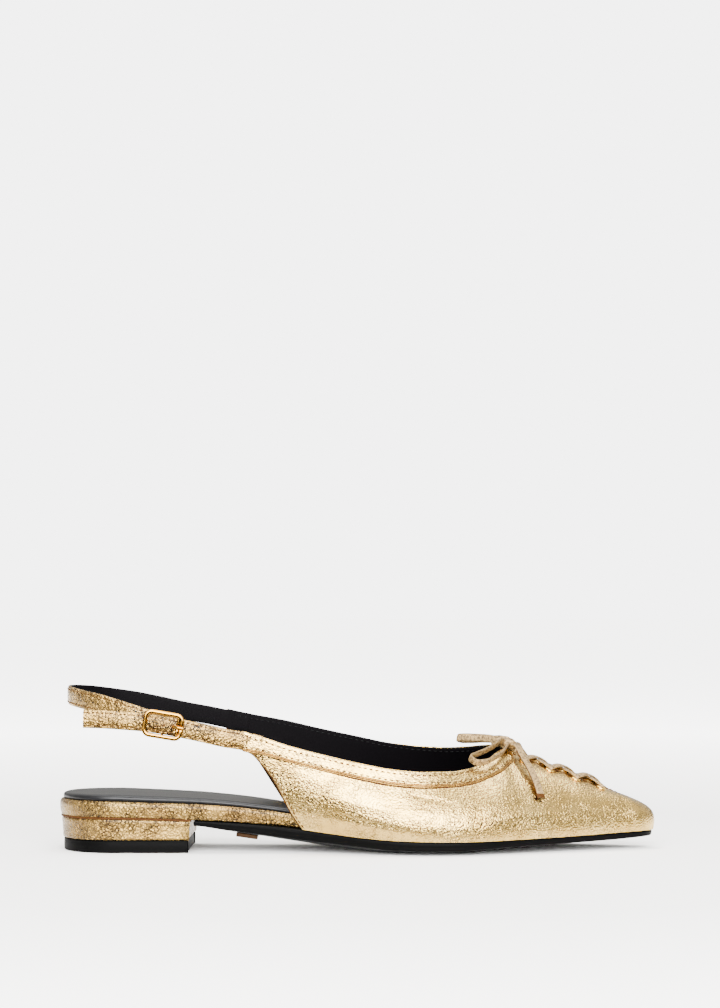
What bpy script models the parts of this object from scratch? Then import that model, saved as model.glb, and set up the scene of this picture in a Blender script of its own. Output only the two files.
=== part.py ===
"""Pointed slingback flat with a lace bow, right shoe.

While it is modelled, x runs from the back of the footbed to the toe, -y is the outer side
with the buckle, +y is the inner side and z is up from the floor. The last step sets the
whole shoe down with the middle of its box over the origin.
"""
import math

import bmesh
import bpy
import numpy as np
from mathutils import Matrix, Vector

MM = 0.001

# Driving sizes
LENGTH = 265.2 * MM
BALL_WIDTH = 78.0 * MM
SEAT_HEIGHT = 15.3 * MM
THROAT_HEIGHT = 45.0 * MM
STRAP_HEIGHT = 69.0 * MM
HEEL_LENGTH = 60.2 * MM
HEEL_ROUND = 26.0 * MM
TOE_ROUND = 9.0 * MM
LIFT_THICKNESS = 5.5 * MM
BOARD_THICKNESS = 7.3 * MM
SOLE_THICKNESS = 4.0 * MM
SOCK_THICKNESS = 2.9 * MM

# Walls, steps and gaps
GAP = 0.3 * MM
UPPER_WALL = 1.8 * MM
BAND_WIDTH = 7.2 * MM
BAND_STEP = 0.5 * MM
BEAD_STEP = 0.95 * MM
SOLE_INSET = 0.8 * MM
HEEL_INSET = 1.3 * MM
LIFT_INSET = 1.9 * MM

# Straps and buckle
STRAP_WIDTH = 8.2 * MM
STRAP_THICKNESS = 2.0 * MM
TAIL_WIDTH = 8.0 * MM
FRAME_LENGTH = 16.0 * MM
FRAME_HEIGHT = 10.2 * MM
FRAME_WIRE = 1.5 * MM
FRAME_CORNER = 2.6 * MM
BAR_WIRE = 1.2 * MM
LOOP_THICKNESS = 3.2 * MM

# Lace and eyelets
LACE_WIDTH = 3.6 * MM
LACE_THICKNESS = 1.0 * MM
EYELET_HOLE = 2.8 * MM
EYELET_WIDTH = 4.2 * MM
EYELET_FLANGE = 0.6 * MM
EYELET_SEAT = 0.42 * MM
EYELET_INSET = 5.6 * MM
PLATE_LENGTH = 9.6 * MM
PLATE_WIDTH = 12.0 * MM
PLATE_THICKNESS = 2.0 * MM

# Plan of the feather line: along as a share of LENGTH, centre and half width of BALL_WIDTH
OUTLINE = [
    # along, centre, half
    (0.000, 0.000, 0.333),
    (0.091, 0.000, 0.333),
    (0.170, -0.003, 0.330),
    (0.227, -0.006, 0.314),
    (0.284, -0.018, 0.296),
    (0.341, -0.032, 0.286),
    (0.398, -0.042, 0.300),
    (0.455, -0.045, 0.340),
    (0.511, -0.042, 0.398),
    (0.568, -0.035, 0.450),
    (0.614, -0.024, 0.478),
    (0.659, -0.010, 0.484),
    (0.705, 0.008, 0.463),
    (0.750, 0.026, 0.421),
    (0.795, 0.036, 0.367),
    (0.841, 0.043, 0.305),
    (0.886, 0.049, 0.241),
    (0.932, 0.054, 0.176),
    (0.970, 0.058, 0.125),
    (1.000, 0.060, 0.095),
]

# Heights along the shoe, each a share of SEAT_HEIGHT, BOARD_THICKNESS or SOLE_THICKNESS:
# seat is the line between sole and footbed, board the footbed's thickness, edge and middle
# the lowest point of the sole at its rim and on its centre line
PROFILE = [
    # along, seat, board, edge, middle
    (0.000, 1.000, 1.00, 3.05, 2.90),
    (0.091, 0.995, 0.97, 3.05, 2.90),
    (0.170, 0.965, 0.96, 3.05, 2.90),
    (0.227, 0.930, 0.96, 3.00, 2.80),
    (0.284, 0.890, 0.91, 2.50, 2.25),
    (0.341, 0.820, 0.85, 2.06, 1.70),
    (0.398, 0.715, 0.78, 1.60, 1.15),
    (0.455, 0.590, 0.66, 1.22, 0.62),
    (0.511, 0.485, 0.52, 0.88, 0.20),
    (0.557, 0.430, 0.42, 0.60, 0.00),
    (0.606, 0.405, 0.38, 0.50, 0.00),
    (0.663, 0.392, 0.38, 0.52, 0.00),
    (0.720, 0.398, 0.38, 0.70, 0.20),
    (0.777, 0.418, 0.38, 0.86, 0.45),
    (0.833, 0.440, 0.38, 0.98, 0.66),
    (0.890, 0.470, 0.38, 1.10, 0.86),
    (0.947, 0.508, 0.38, 1.25, 1.08),
    (1.000, 0.538, 0.38, 1.42, 1.32),
]

# Ribs of the upper from the rear edge of a quarter to the toe, for the outer and inner side.
# foot: back from the toe tip along the feather line, and top: along the shoe, of LENGTH
# out: half the opening, of BALL_WIDTH; rise: of THROAT_HEIGHT; aim, tilt, lean: degrees
# hold_top, hold_foot: how far the curve keeps its end directions, shares of the rib
# band: width of the topline band, of BAND_WIDTH
RIBS = [
    # foot, top_o, top_i, out_o, out_i, rise_o, rise_i, aim, tilt_o, tilt_i, lean_o, lean_i,
    # hold_top, hold_foot, band
    (0.611, 0.311, 0.273, 0.353, 0.372, 1.191, 1.353, 90, 2, 0, 12, 25, 0.35, 0.33, 1.20),
    (0.591, 0.345, 0.318, 0.354, 0.376, 1.133, 1.298, 90, 4, 2, 12, 25, 0.35, 0.33, 1.04),
    (0.561, 0.390, 0.371, 0.356, 0.385, 1.047, 1.242, 90, 7, 4, 13, 24, 0.35, 0.34, 0.98),
    (0.523, 0.447, 0.436, 0.364, 0.391, 0.962, 1.156, 90, 10, 6, 14, 22, 0.35, 0.35, 0.97),
    (0.481, 0.508, 0.500, 0.374, 0.391, 0.880, 1.078, 90, 13, 10, 16, 20, 0.35, 0.36, 0.97),
    (0.439, 0.564, 0.561, 0.378, 0.378, 0.820, 1.009, 90, 18, 16, 18, 18, 0.35, 0.38, 0.97),
    (0.402, 0.610, 0.610, 0.367, 0.353, 0.798, 0.982, 90, 24, 24, 18, 17, 0.35, 0.38, 0.99),
    (0.367, 0.652, 0.652, 0.327, 0.305, 0.796, 0.973, 86, 32, 33, 17, 16, 0.35, 0.38, 1.04),
    (0.333, 0.688, 0.688, 0.265, 0.241, 0.822, 0.985, 80, 41, 43, 16, 15, 0.35, 0.37, 1.16),
    (0.302, 0.714, 0.714, 0.190, 0.167, 0.884, 1.004, 75, 50, 52, 15, 14, 0.35, 0.37, 1.38),
    (0.269, 0.732, 0.732, 0.113, 0.100, 0.955, 1.012, 72, 57, 58, 14, 13, 0.35, 0.36, 1.66),
    (0.235, 0.746, 0.746, 0.046, 0.046, 0.984, 0.996, 74, 60, 61, 12, 12, 0.35, 0.36, 1.45),
    (0.201, 0.773, 0.773, 0.033, 0.033, 0.924, 0.926, 75, 66, 66, 12, 12, 0.35, 0.36, 0.30),
    (0.163, 0.811, 0.811, 0.032, 0.032, 0.838, 0.838, 72, 72, 72, 12, 12, 0.35, 0.36, 0.26),
    (0.125, 0.852, 0.852, 0.029, 0.029, 0.748, 0.748, 67, 76, 76, 12, 12, 0.37, 0.37, 0.20),
    (0.087, 0.892, 0.892, 0.024, 0.024, 0.657, 0.657, 58, 78, 78, 12, 12, 0.40, 0.38, 0.18),
    (0.053, 0.921, 0.921, 0.015, 0.015, 0.587, 0.587, 42, 78, 78, 13, 13, 0.46, 0.40, 0.17),
    (0.027, 0.930, 0.930, 0.008, 0.008, 0.562, 0.562, 20, 75, 75, 15, 15, 0.55, 0.41, 0.17),
    (0.000, 0.933, 0.933, 0.000, 0.000, 0.556, 0.556, 0, 71, 71, 17, 17, 0.60, 0.42, 0.17),
]

# Curved rear edge of a quarter below the band: forward run for each share of the drop
REAR_EDGE = [
    # drop, run
    (0.00, 0.00),
    (0.04, 0.15),
    (0.14, 0.29),
    (0.25, 0.42),
    (0.38, 0.545),
    (0.54, 0.665),
    (0.77, 0.82),
    (0.93, 0.94),
    (1.00, 1.00),
]
REAR_FADE = 4.5     # ribs over which the rear edge's curve fades out

# Heel strap from the inner quarter round the heel to the buckle's bar
SLING = [
    # along, out, rise: of LENGTH, BALL_WIDTH and STRAP_HEIGHT
    (0.2690, 0.3465, 0.828),
    (0.2450, 0.348, 0.842),
    (0.2000, 0.347, 0.874),
    (0.1550, 0.339, 0.912),
    (0.1150, 0.318, 0.943),
    (0.0760, 0.279, 0.966),
    (0.0440, 0.212, 0.984),
    (0.0220, 0.115, 0.992),
    (0.0160, 0.000, 0.994),
    (0.0220, -0.115, 0.987),
    (0.0440, -0.216, 0.969),
    (0.0760, -0.290, 0.943),
    (0.1150, -0.338, 0.900),
    (0.1550, -0.362, 0.852),
    (0.1885, -0.3670, 0.812),
]

# Buckle strap from the outer quarter through the buckle to the end of its tail
TAIL = [
    # along, out, rise, as above
    (0.3070, -0.368, 0.714),
    (0.2840, -0.374, 0.730),
    (0.2440, -0.384, 0.765),
    (0.2140, -0.392, 0.790),
    (0.1820, -0.408, 0.815),
    (0.1500, -0.394, 0.831),
    (0.1150, -0.387, 0.842),
    (0.0800, -0.379, 0.850),
    (0.0500, -0.366, 0.853),
]
BUCKLE_ALONG = 0.1820

# Depths from the middle of the buckle strap: out to the frame, in to the centre bar
STRAP_BULGE = 0.9 * MM
FRAME_LIFT = STRAP_THICKNESS / 2 + GAP + FRAME_WIRE / 2 - STRAP_BULGE
BAR_DEPTH = STRAP_THICKNESS / 2 + GAP + LOOP_THICKNESS / 2
PRONG_WIRE = 0.9 * MM
PRONG_HOLE = 3.9 * MM
EYELET_ALONG = (0.779, 0.823, 0.867, 0.911)
PLATE_ALONG = 0.3155

# The bow's routes, chosen by hand: along, across and up in millimetres
KNOT = [(193.5, 3.0, 45.8), (196.5, 1.0, 47.5), (200.5, -0.5, 47.2), (203.5, 0.5, 44.9)]
LOOP_OUTER = [
    (197.2, -2.2, 47.5), (193.5, -8.7, 46.0), (188.5, -14.0, 43.8), (184.2, -18.2, 42.4),
    (182.2, -21.4, 41.4), (184.0, -22.4, 39.8), (188.6, -21.0, 39.6), (193.8, -16.6, 41.6),
    (197.4, -11.6, 43.8), (199.0, -7.4, 45.6),
]
LOOP_INNER = [
    (194.2, 5.7, 48.1), (190.0, 9.4, 48.6), (185.0, 12.6, 48.7), (180.6, 15.2, 48.7),
    (178.2, 17.2, 48.3), (179.8, 18.8, 47.6), (184.4, 17.2, 47.5), (189.6, 13.8, 47.9),
    (194.2, 10.2, 48.0), (197.4, 6.2, 48.1),
]
TAIL_OUTER = [
    (203.0, -3.2, 46.1), (205.4, -7.8, 42.9), (207.0, -10.8, 39.9), (209.2, -14.2, 36.0),
    (211.0, -17.2, 31.8), (212.4, -20.0, 27.6), (213.2, -22.4, 24.0),
]
TAIL_INNER = [
    (203.0, 4.0, 46.7), (206.0, 10.0, 43.6), (208.4, 13.8, 40.4), (211.0, 17.8, 36.4),
    (213.2, 21.6, 32.0), (214.9, 24.9, 27.6), (215.9, 27.2, 24.0),
]


def srgb(code):
    """Turn a six digit sRGB hex code into linear red, green, blue and alpha."""
    values = [int(code[i:i + 2], 16) / 255 for i in (0, 2, 4)]
    return [v / 12.92 if v <= 0.04045 else ((v + 0.055) / 1.055) ** 2.4 for v in values] + [1.0]


def make_material(name, colour, roughness, metallic):
    """Make a Principled material with one colour, roughness and metallic value."""
    material = bpy.data.materials.new(name)
    material.use_nodes = True
    shader = material.node_tree.nodes["Principled BSDF"]
    shader.inputs["Base Color"].default_value = srgb(colour)
    shader.inputs["Roughness"].default_value = roughness
    shader.inputs["Metallic"].default_value = metallic
    material.diffuse_color = srgb(colour)
    return material


def smooth(knots, values, at):
    """Pass one smooth curve through the table's points without overshooting them."""
    knots, values = np.asarray(knots, float), np.asarray(values, float)
    at = np.clip(np.asarray(at, float), knots[0], knots[-1])
    step, slope = np.diff(knots), np.diff(values) / np.diff(knots)
    tangent = np.zeros_like(values)
    tangent[0], tangent[-1] = slope[0], slope[-1]
    rising = slope[:-1] * slope[1:] > 0
    before, after = 2 * step[1:] + step[:-1], step[1:] + 2 * step[:-1]
    safe = np.where(rising, slope[:-1], 1.0), np.where(rising, slope[1:], 1.0)
    mean = (before + after) / (before / safe[0] + after / safe[1])
    tangent[1:-1] = np.where(rising, mean, 0.0)
    i = np.clip(np.searchsorted(knots, at, side="right") - 1, 0, len(knots) - 2)
    t = (at - knots[i]) / step[i]
    a, b = values[i], values[i + 1]
    p, q = tangent[i] * step[i], tangent[i + 1] * step[i]
    return a + t * (p + t * (3 * (b - a) - 2 * p - q + t * (2 * (a - b) + p + q)))


def column(table, index, x):
    """Read one column of a table whose first column is a share of LENGTH, at x in metres."""
    rows = np.array(table, float)
    return smooth(rows[:, 0], rows[:, index], np.asarray(x, float) / LENGTH)


def centre_line(x):
    return BALL_WIDTH * column(OUTLINE, 1, x)


def half_width(x):
    return BALL_WIDTH * column(OUTLINE, 2, x)


def seat_line(x):
    return SEAT_HEIGHT * column(PROFILE, 1, x)


def board_top(x):
    return seat_line(x) + BOARD_THICKNESS * column(PROFILE, 2, x)


def sole_edge(x):
    return SOLE_THICKNESS * column(PROFILE, 3, x)


def sole_middle(x):
    return SOLE_THICKNESS * column(PROFILE, 4, x)


UNROLLED_HEEL = HEEL_ROUND * (1 - math.pi / 2)
UNROLLED_TOE = LENGTH - TOE_ROUND * (1 - math.pi / 2)


def unroll(q):
    """Follow the outline's length q: straight along x, and round an arc at heel and toe."""
    q = np.asarray(q, float)
    toe = np.clip((q - (LENGTH - TOE_ROUND)) / TOE_ROUND, 0, math.pi / 2)
    heel = np.clip((HEEL_ROUND - q) / HEEL_ROUND, 0, math.pi / 2)
    x = np.clip(q, HEEL_ROUND, LENGTH - TOE_ROUND)
    x = x + TOE_ROUND * np.sin(toe) - HEEL_ROUND * np.sin(heel)
    return x, np.cos(toe) * np.cos(heel)


def outline_side(q, side):
    """Points of the feather line in plan on one side, -1 outer or 1 inner."""
    x, cap = unroll(q)
    return np.stack([x, centre_line(x) + side * half_width(x) * cap], axis=-1)


def ring(q, across_start=0, across_end=0):
    """Closed outline from the outer side round the toe and back along the inner side."""
    outer, inner = outline_side(q, -1), outline_side(q, 1)
    share_end = np.linspace(0, 1, across_end + 2)[1:-1, None]
    share_start = np.linspace(0, 1, across_start + 2)[1:-1, None]
    end = outer[-1] + share_end * (inner[-1] - outer[-1])
    start = inner[0] + share_start * (outer[0] - inner[0])
    return np.concatenate([outer, end, inner[::-1], start])


def outward(points):
    """Unit normals in plan of a closed outline that runs anticlockwise."""
    tangent = np.roll(points, -1, axis=0) - np.roll(points, 1, axis=0)
    normal = np.stack([tangent[:, 1], -tangent[:, 0]], axis=1)
    return normal / np.maximum(np.linalg.norm(normal, axis=1, keepdims=True), 1e-9)


def add_object(name, verts, faces, material, smooth_angle=40):
    """Make one closed mesh object with merged points and faces pointing out."""
    mesh = bpy.data.meshes.new(name)
    mesh.from_pydata([tuple(v) for v in verts], [], faces)
    bm = bmesh.new()
    bm.from_mesh(mesh)
    bmesh.ops.remove_doubles(bm, verts=bm.verts, dist=1e-6)
    bmesh.ops.dissolve_degenerate(bm, edges=bm.edges, dist=1e-7)
    if bm.calc_volume(signed=True) < 0:
        bmesh.ops.reverse_faces(bm, faces=bm.faces)
    bm.to_mesh(mesh)
    bm.free()
    mesh.materials.append(material)
    mesh.shade_smooth()
    mesh.set_sharp_from_angle(angle=math.radians(smooth_angle))
    obj = bpy.data.objects.new(name, mesh)
    bpy.context.collection.objects.link(obj)
    return obj


def grid_faces(rows, columns, start=0, closed=False, flip=False):
    """Quads of a grid whose points are stored row by row."""
    faces = []
    for i in range(rows - 1):
        for j in range(columns if closed else columns - 1):
            k = (j + 1) % columns
            a, b = start + i * columns + j, start + i * columns + k
            c, d = start + (i + 1) * columns + k, start + (i + 1) * columns + j
            faces.append((a, d, c, b) if flip else (a, b, c, d))
    return faces


def slab(name, outline, spine, rows, material, smooth_angle=40, more_inset=None):
    """Stack rings of one outline, each set in and drawn towards the spine, at a height.

    A row is (inset, share, height): the outline moved in by inset, then share of the way
    from the spine to there, at height(x). more_inset(x) draws the whole outline in further.
    """
    normal = outward(outline)
    if more_inset:
        drawn_in = outline - normal * more_inset(outline[:, 0])[:, None]
    else:
        drawn_in = outline
    spine_x = np.clip(outline[:, 0], *spine)
    centre = np.stack([spine_x, centre_line(spine_x)], axis=1)
    verts = []
    for inset, share, height in rows:
        plan = centre + share * (drawn_in - normal * inset - centre)
        verts.append(np.column_stack([plan, height(plan[:, 0])]))
    faces = grid_faces(len(rows), len(outline), closed=True)
    return add_object(name, np.concatenate(verts), faces, material, smooth_angle)


def between(low, high, share):
    """Height function a share of the way from one height function to another."""
    return lambda x: low(x) + share * (high(x) - low(x))


def level(height):
    """Height function of a flat face."""
    return lambda x: np.full_like(x, height)


def raised(base, lift):
    """Height function a fixed distance above another."""
    return lambda x: base(x) + lift


def heel_outline():
    q = np.concatenate([np.linspace(UNROLLED_HEEL, HEEL_ROUND, 12), [0.038, 0.048]])
    q = np.concatenate([q[q < HEEL_LENGTH - 4 * MM], [HEEL_LENGTH]])
    return ring(q, across_end=7)


def toe_stations(start, count):
    """Stations to the toe tip, closer together round the toe."""
    body = np.linspace(start, LENGTH - TOE_ROUND, count)
    return np.concatenate([body, np.linspace(LENGTH - TOE_ROUND, UNROLLED_TOE, 5)[1:]])


def make_top_lift(rubber):
    """Flat rubber lift, with a small bevel round the floor face."""
    rows = [(0, 0, level(0)), (LIFT_INSET + 0.5 * MM, 1, level(0)),
            (LIFT_INSET + 0.1 * MM, 1, level(0.5 * MM)),
            (LIFT_INSET, 1, level(LIFT_THICKNESS)), (0, 0, level(LIFT_THICKNESS))]
    return slab("top_lift", heel_outline(), (24 * MM, 34 * MM), rows, rubber, 30)


def make_heel_block(foil):
    """Low wrapped block between the lift and the footbed, its rim a little in at the top."""
    low = level(LIFT_THICKNESS + GAP)
    top = raised(seat_line, -GAP)
    rows = [(0, 0, low), (HEEL_INSET + 0.7 * MM, 1, low),
            (HEEL_INSET + 0.1 * MM, 1, between(low, top, 0.1)),
            (HEEL_INSET, 1, between(low, top, 0.55)),
            (HEEL_INSET + 0.1 * MM, 1, between(low, top, 0.88)),
            (HEEL_INSET + 1.0 * MM, 1, top), (0, 0, top)]
    return slab("heel_block", heel_outline(), (24 * MM, 34 * MM), rows, foil, 50)


def make_outsole(leather):
    """Thin sole from the heel breast to the toe, its underside rounded across."""
    outline = ring(toe_stations(HEEL_LENGTH + GAP, 26), across_start=7)
    top = raised(seat_line, -GAP)
    rows = [(0, 0, sole_middle), (0, 0.5, sole_middle),
            (0, 0.72, between(sole_middle, sole_edge, 0.35)),
            (SOLE_INSET, 0.97, between(sole_middle, sole_edge, 0.9)),
            (SOLE_INSET, 1, between(sole_edge, top, 0.22)),
            (SOLE_INSET - 0.2 * MM, 1, between(sole_edge, top, 0.75)),
            (SOLE_INSET + 0.1 * MM, 1, top), (0, 0.5, top), (0, 0, top)]
    spine = (HEEL_LENGTH + 10 * MM, LENGTH - 14 * MM)
    return slab("outsole", outline, spine, rows, leather, 50)


def board_inset(x):
    """How far the footbed sits in from the feather line: nothing behind the quarters."""
    share = np.clip((np.asarray(x) / LENGTH - 0.32) / 0.075, 0, 1)
    return (UPPER_WALL + 2 * GAP) * share * share * (3 - 2 * share)


def whole_outline():
    """The feather line from the back of the heel to the toe tip."""
    return ring(np.concatenate([np.linspace(UNROLLED_HEEL, HEEL_ROUND, 10)[:-1],
                                toe_stations(HEEL_ROUND, 24)]))


def make_footbed(foil):
    """Wrapped insole board with a bulged rim that curves in under its edge."""
    side = ((2.8, 0.0), (1.0, 0.14), (0.2, 0.38), (0.0, 0.62), (0.3, 0.86), (1.5, 1.0))
    rim = [(inset * MM, 1, between(seat_line, board_top, share)) for inset, share in side]
    rows = [(0, 0, seat_line), (0, 0.55, seat_line)] + rim
    rows += [(0, 0.55, board_top), (0, 0, board_top)]
    spine = (22 * MM, LENGTH - 18 * MM)
    return slab("footbed", whole_outline(), spine, rows, foil, 60, board_inset)


def make_sock(satin):
    """Padded sock with a rolled rim, thinner in front than at the heel."""
    low = raised(board_top, GAP)

    def high(x):
        return low(x) + SOCK_THICKNESS * (1 - 0.5 * np.clip(x / LENGTH - 0.1, 0, 0.5) / 0.5)

    rows = [(0, 0, low), (0, 0.55, low), (2.0 * MM, 1, low),
            (1.5 * MM, 1, between(low, high, 0.45)), (2.4 * MM, 1, between(low, high, 0.85)),
            (5.0 * MM, 1, high),
            (0, 0.55, high), (0, 0, high)]
    spine = (22 * MM, LENGTH - 22 * MM)
    return slab("sock", whole_outline(), spine, rows, satin, 60, board_inset)


def rib_columns():
    """Both sides of the rib table as one run: outer rear edge, toe tip, inner rear edge."""
    rows = np.array(RIBS, float)
    outer, inner = rows, rows[-2::-1]

    def both(column_outer, column_inner, sign=1):
        return np.concatenate([outer[:, column_outer], sign * inner[:, column_inner]])

    return {
        "foot": both(0, 0, -1), "top": both(1, 2), "out": both(3, 4, -1), "rise": both(5, 6),
        "aim": both(7, 7, -1), "tilt": both(8, 9), "lean": both(10, 11),
        "hold_top": both(12, 12), "hold_foot": both(13, 13), "band": both(14, 14),
    }


TOE_RIB = len(RIBS) - 1
COLUMNS = rib_columns()


def rib_value(name, s):
    """Value of one column at rib s, from -TOE_RIB at the outer rear edge to +TOE_RIB."""
    run = np.arange(-TOE_RIB, TOE_RIB + 1)
    return smooth(run, COLUMNS[name], s)


def foot_point(s):
    """Point of the feather line at rib s, and the outward direction in plan there."""
    def at(back):
        q = UNROLLED_TOE - np.abs(back)
        plan = np.where((back > 0)[:, None], outline_side(q, -1), outline_side(q, 1))
        return np.column_stack([plan, seat_line(plan[:, 0])])

    back = LENGTH * rib_value("foot", s)
    point, step = at(back), at(back - 0.2 * MM) - at(back + 0.2 * MM)
    normal = np.stack([step[:, 1], -step[:, 0], 0 * back], axis=1)
    return point, normal / np.linalg.norm(normal, axis=1, keepdims=True)


def rib_curves(s, samples=61):
    """Each rib as a cubic curve from the topline down to the feather line.

    It leaves the topline downwards and outwards by the angle tilt, towards aim in plan, and
    meets the feather line from above, leaning outwards by lean. The rearmost ribs bend
    forward along the curved rear edge.
    """
    foot, foot_out = foot_point(s)
    top_x = LENGTH * rib_value("top", s)
    top_y = centre_line(top_x) - BALL_WIDTH * rib_value("out", s)
    top = np.stack([top_x, top_y, THROAT_HEIGHT * rib_value("rise", s)], axis=1)
    aim, tilt = np.radians(rib_value("aim", s)), np.radians(rib_value("tilt", s))
    lean = np.radians(rib_value("lean", s))[:, None]
    down = np.stack([np.cos(aim) * np.sin(tilt), -np.sin(aim) * np.sin(tilt), -np.cos(tilt)], 1)
    up = foot_out * np.sin(lean) + np.array([0, 0, 1]) * np.cos(lean)
    chord = np.linalg.norm(foot - top, axis=1)[:, None]
    hold_top = top + down * chord * rib_value("hold_top", s)[:, None]
    hold_foot = foot + up * chord * rib_value("hold_foot", s)[:, None]
    t = np.linspace(0, 1, samples)[None, :, None]
    curve = ((1 - t) ** 3 * top[:, None] + 3 * t * (1 - t) ** 2 * hold_top[:, None]
             + 3 * t * t * (1 - t) * hold_foot[:, None] + t ** 3 * foot[:, None])
    band_drop = BAND_WIDTH * rib_value("band", s)[:, None]
    drop = (top[:, 2:] - band_drop - curve[:, :, 2]) / (top[:, 2:] - band_drop - foot[:, 2:])
    edge = np.array(REAR_EDGE)
    run = np.interp(np.clip(drop, 0, 1), edge[:, 0], edge[:, 1])
    rear_x = top[:, :1] + run * (foot[:, :1] - top[:, :1])
    fade = np.clip((TOE_RIB - np.abs(s)) / REAR_FADE, 0, 1)[:, None]
    curve[:, :, 0] += (1 - fade) ** 2 * (1 + 2 * fade) * (rear_x - curve[:, :, 0])
    return curve


def along_ribs(curve, distance):
    """Points at given distances from the topline, one row of distances for each rib."""
    length = np.linalg.norm(np.diff(curve, axis=1), axis=2).cumsum(axis=1)
    length = np.concatenate([np.zeros((len(curve), 1)), length], axis=1)
    points = []
    for rib, run, wanted in zip(curve, length, distance):
        points.append([np.interp(wanted, run, rib[:, k]) for k in range(3)])
    return np.array(points).transpose(0, 2, 1), length[:, -1]


def surface_normals(grid):
    """Unit normals of a grid of ribs by rows, pointing out of the shoe."""
    normal = np.cross(np.gradient(grid, axis=1), np.gradient(grid, axis=0))
    return normal / np.linalg.norm(normal, axis=2, keepdims=True)


def upper_grid(s):
    """Middle rows of the upper: base surface, outward normals and the height of its steps."""
    curve = rib_curves(s)
    band = BAND_WIDTH * rib_value("band", s)[:, None]
    total = along_ribs(curve, band)[1][:, None]
    in_band = np.array([0.0, 0.42, 0.84, 0.92, 1.0])[None, :]
    below = np.array([0.03, 0.10, 0.21, 0.34, 0.48, 0.63, 0.78, 0.90, 1.0])[None, :]
    distance = np.concatenate([in_band * band, band + below * (total - band)], axis=1)
    base, _ = along_ribs(curve, distance)
    raise_by = np.array([1.0, 1.0, 1.0, 0, 0] + [0] * below.shape[1])[None, :] * BAND_STEP
    raise_by = raise_by + np.array([0, 0, 0, 1.0, 1.0] + [0] * below.shape[1]) * BEAD_STEP
    fade = np.clip((rib_value("band", s)[:, None] - 0.75) / 0.2, 0, 1)
    return base, surface_normals(base), raise_by * fade


def make_upper(foil):
    """Vamp and quarters as one hollow wall, with the raised topline band and its bead."""
    s = np.linspace(-TOE_RIB, TOE_RIB, 3 * TOE_RIB + 1)
    base, normal, step = upper_grid(s)
    ribs, rows = base.shape[:2]
    outer = base + normal * step[:, :, None]
    inner = base - normal * UPPER_WALL
    verts = np.concatenate([outer.reshape(-1, 3), inner.reshape(-1, 3)])
    shift = ribs * rows
    faces = grid_faces(ribs, rows) + grid_faces(ribs, rows, start=shift, flip=True)
    index = np.arange(shift).reshape(ribs, rows)
    rims = (index[:, 0], index[::-1, -1], index[-1, :], index[0, ::-1])
    for rim in rims:
        faces += [(a, b, b + shift, a + shift) for a, b in zip(rim[:-1], rim[1:])]
    return add_object("upper", verts, faces, foil, 30)


def surface_point(along, side, inset):
    """Point and normal of the vamp at a distance from the slit's edge."""
    s = side * np.linspace(TOE_RIB - 8, 0.6, 120)
    curve = rib_curves(s)
    distance = np.tile(np.array([[inset, inset + 0.5 * MM]]), (len(s), 1))
    points, _ = along_ribs(curve, distance)
    x = points[:, 0, 0]
    order = np.argsort(x)
    index = np.interp(along * LENGTH, x[order], order.astype(float))
    i = int(round(index))
    down = points[i, 1] - points[i, 0]
    forward = points[min(i + 1, len(s) - 1), 0] - points[i - 1, 0]
    normal = np.cross(down, forward) * side
    return Vector(points[i, 0]), -Vector(normal).normalized()


def end_caps(count, size):
    """Faces that close the first and the last section of a loft."""
    return [tuple(reversed(range(size))), tuple(range((count - 1) * size, count * size))]


def sweep(path, across, normal, width, thickness):
    """Loft a flat section with rounded edges along a path; returns points and faces.

    thickness is one value or one for each point of the path.
    """
    thickness = np.broadcast_to(thickness, len(path))[:, None, None]
    edge = np.array([-0.5, -0.5, 0.5, 0.5, 0.5, -0.5])[None, :, None] * width
    soft = np.array([0, 1, -1, 0, -1, 1])[None, :, None] * 0.3 * thickness
    side = np.array([0, -0.5, -0.5, 0, 0.5, 0.5])[None, :, None] * thickness
    verts = path[:, None] + across[:, None] * (edge + soft) + normal[:, None] * side
    count, size = verts.shape[:2]
    faces = grid_faces(count, size, closed=True) + end_caps(count, size)
    return verts.reshape(-1, 3), faces


def resample(points, count):
    """Points evenly spaced on one smooth curve through a few given points."""
    points = np.asarray(points, float)
    run = np.concatenate([[0], np.linalg.norm(np.diff(points, axis=0), axis=1).cumsum()])
    at = np.linspace(0, run[-1], count)
    return np.stack([spline(run, points[:, k], at) for k in range(3)], axis=1)


def spline(knots, values, at):
    """Cubic curve through the points whose slope there is that of its neighbours' chord."""
    slope = np.gradient(values, knots)
    step = np.diff(knots)
    i = np.clip(np.searchsorted(knots, at, side="right") - 1, 0, len(knots) - 2)
    t = (at - knots[i]) / step[i]
    a, b, p, q = values[i], values[i + 1], slope[i] * step[i], slope[i + 1] * step[i]
    return a + t * (p + t * (3 * (b - a) - 2 * p - q + t * (2 * (a - b) + p + q)))


def strap_path(table, count):
    rows = np.array(table)
    return resample(rows * np.array([LENGTH, BALL_WIDTH, STRAP_HEIGHT]), count)


def upright_frame(path):
    """Directions across the strap (upwards) and out of it, for a strap that stands on edge."""
    tangent = np.gradient(path, axis=0)
    tangent /= np.linalg.norm(tangent, axis=1, keepdims=True)
    outwards = np.cross(tangent, np.array([0, 0, 1.0]))
    outwards /= np.linalg.norm(outwards, axis=1, keepdims=True)
    return np.cross(outwards, tangent), outwards


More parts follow.
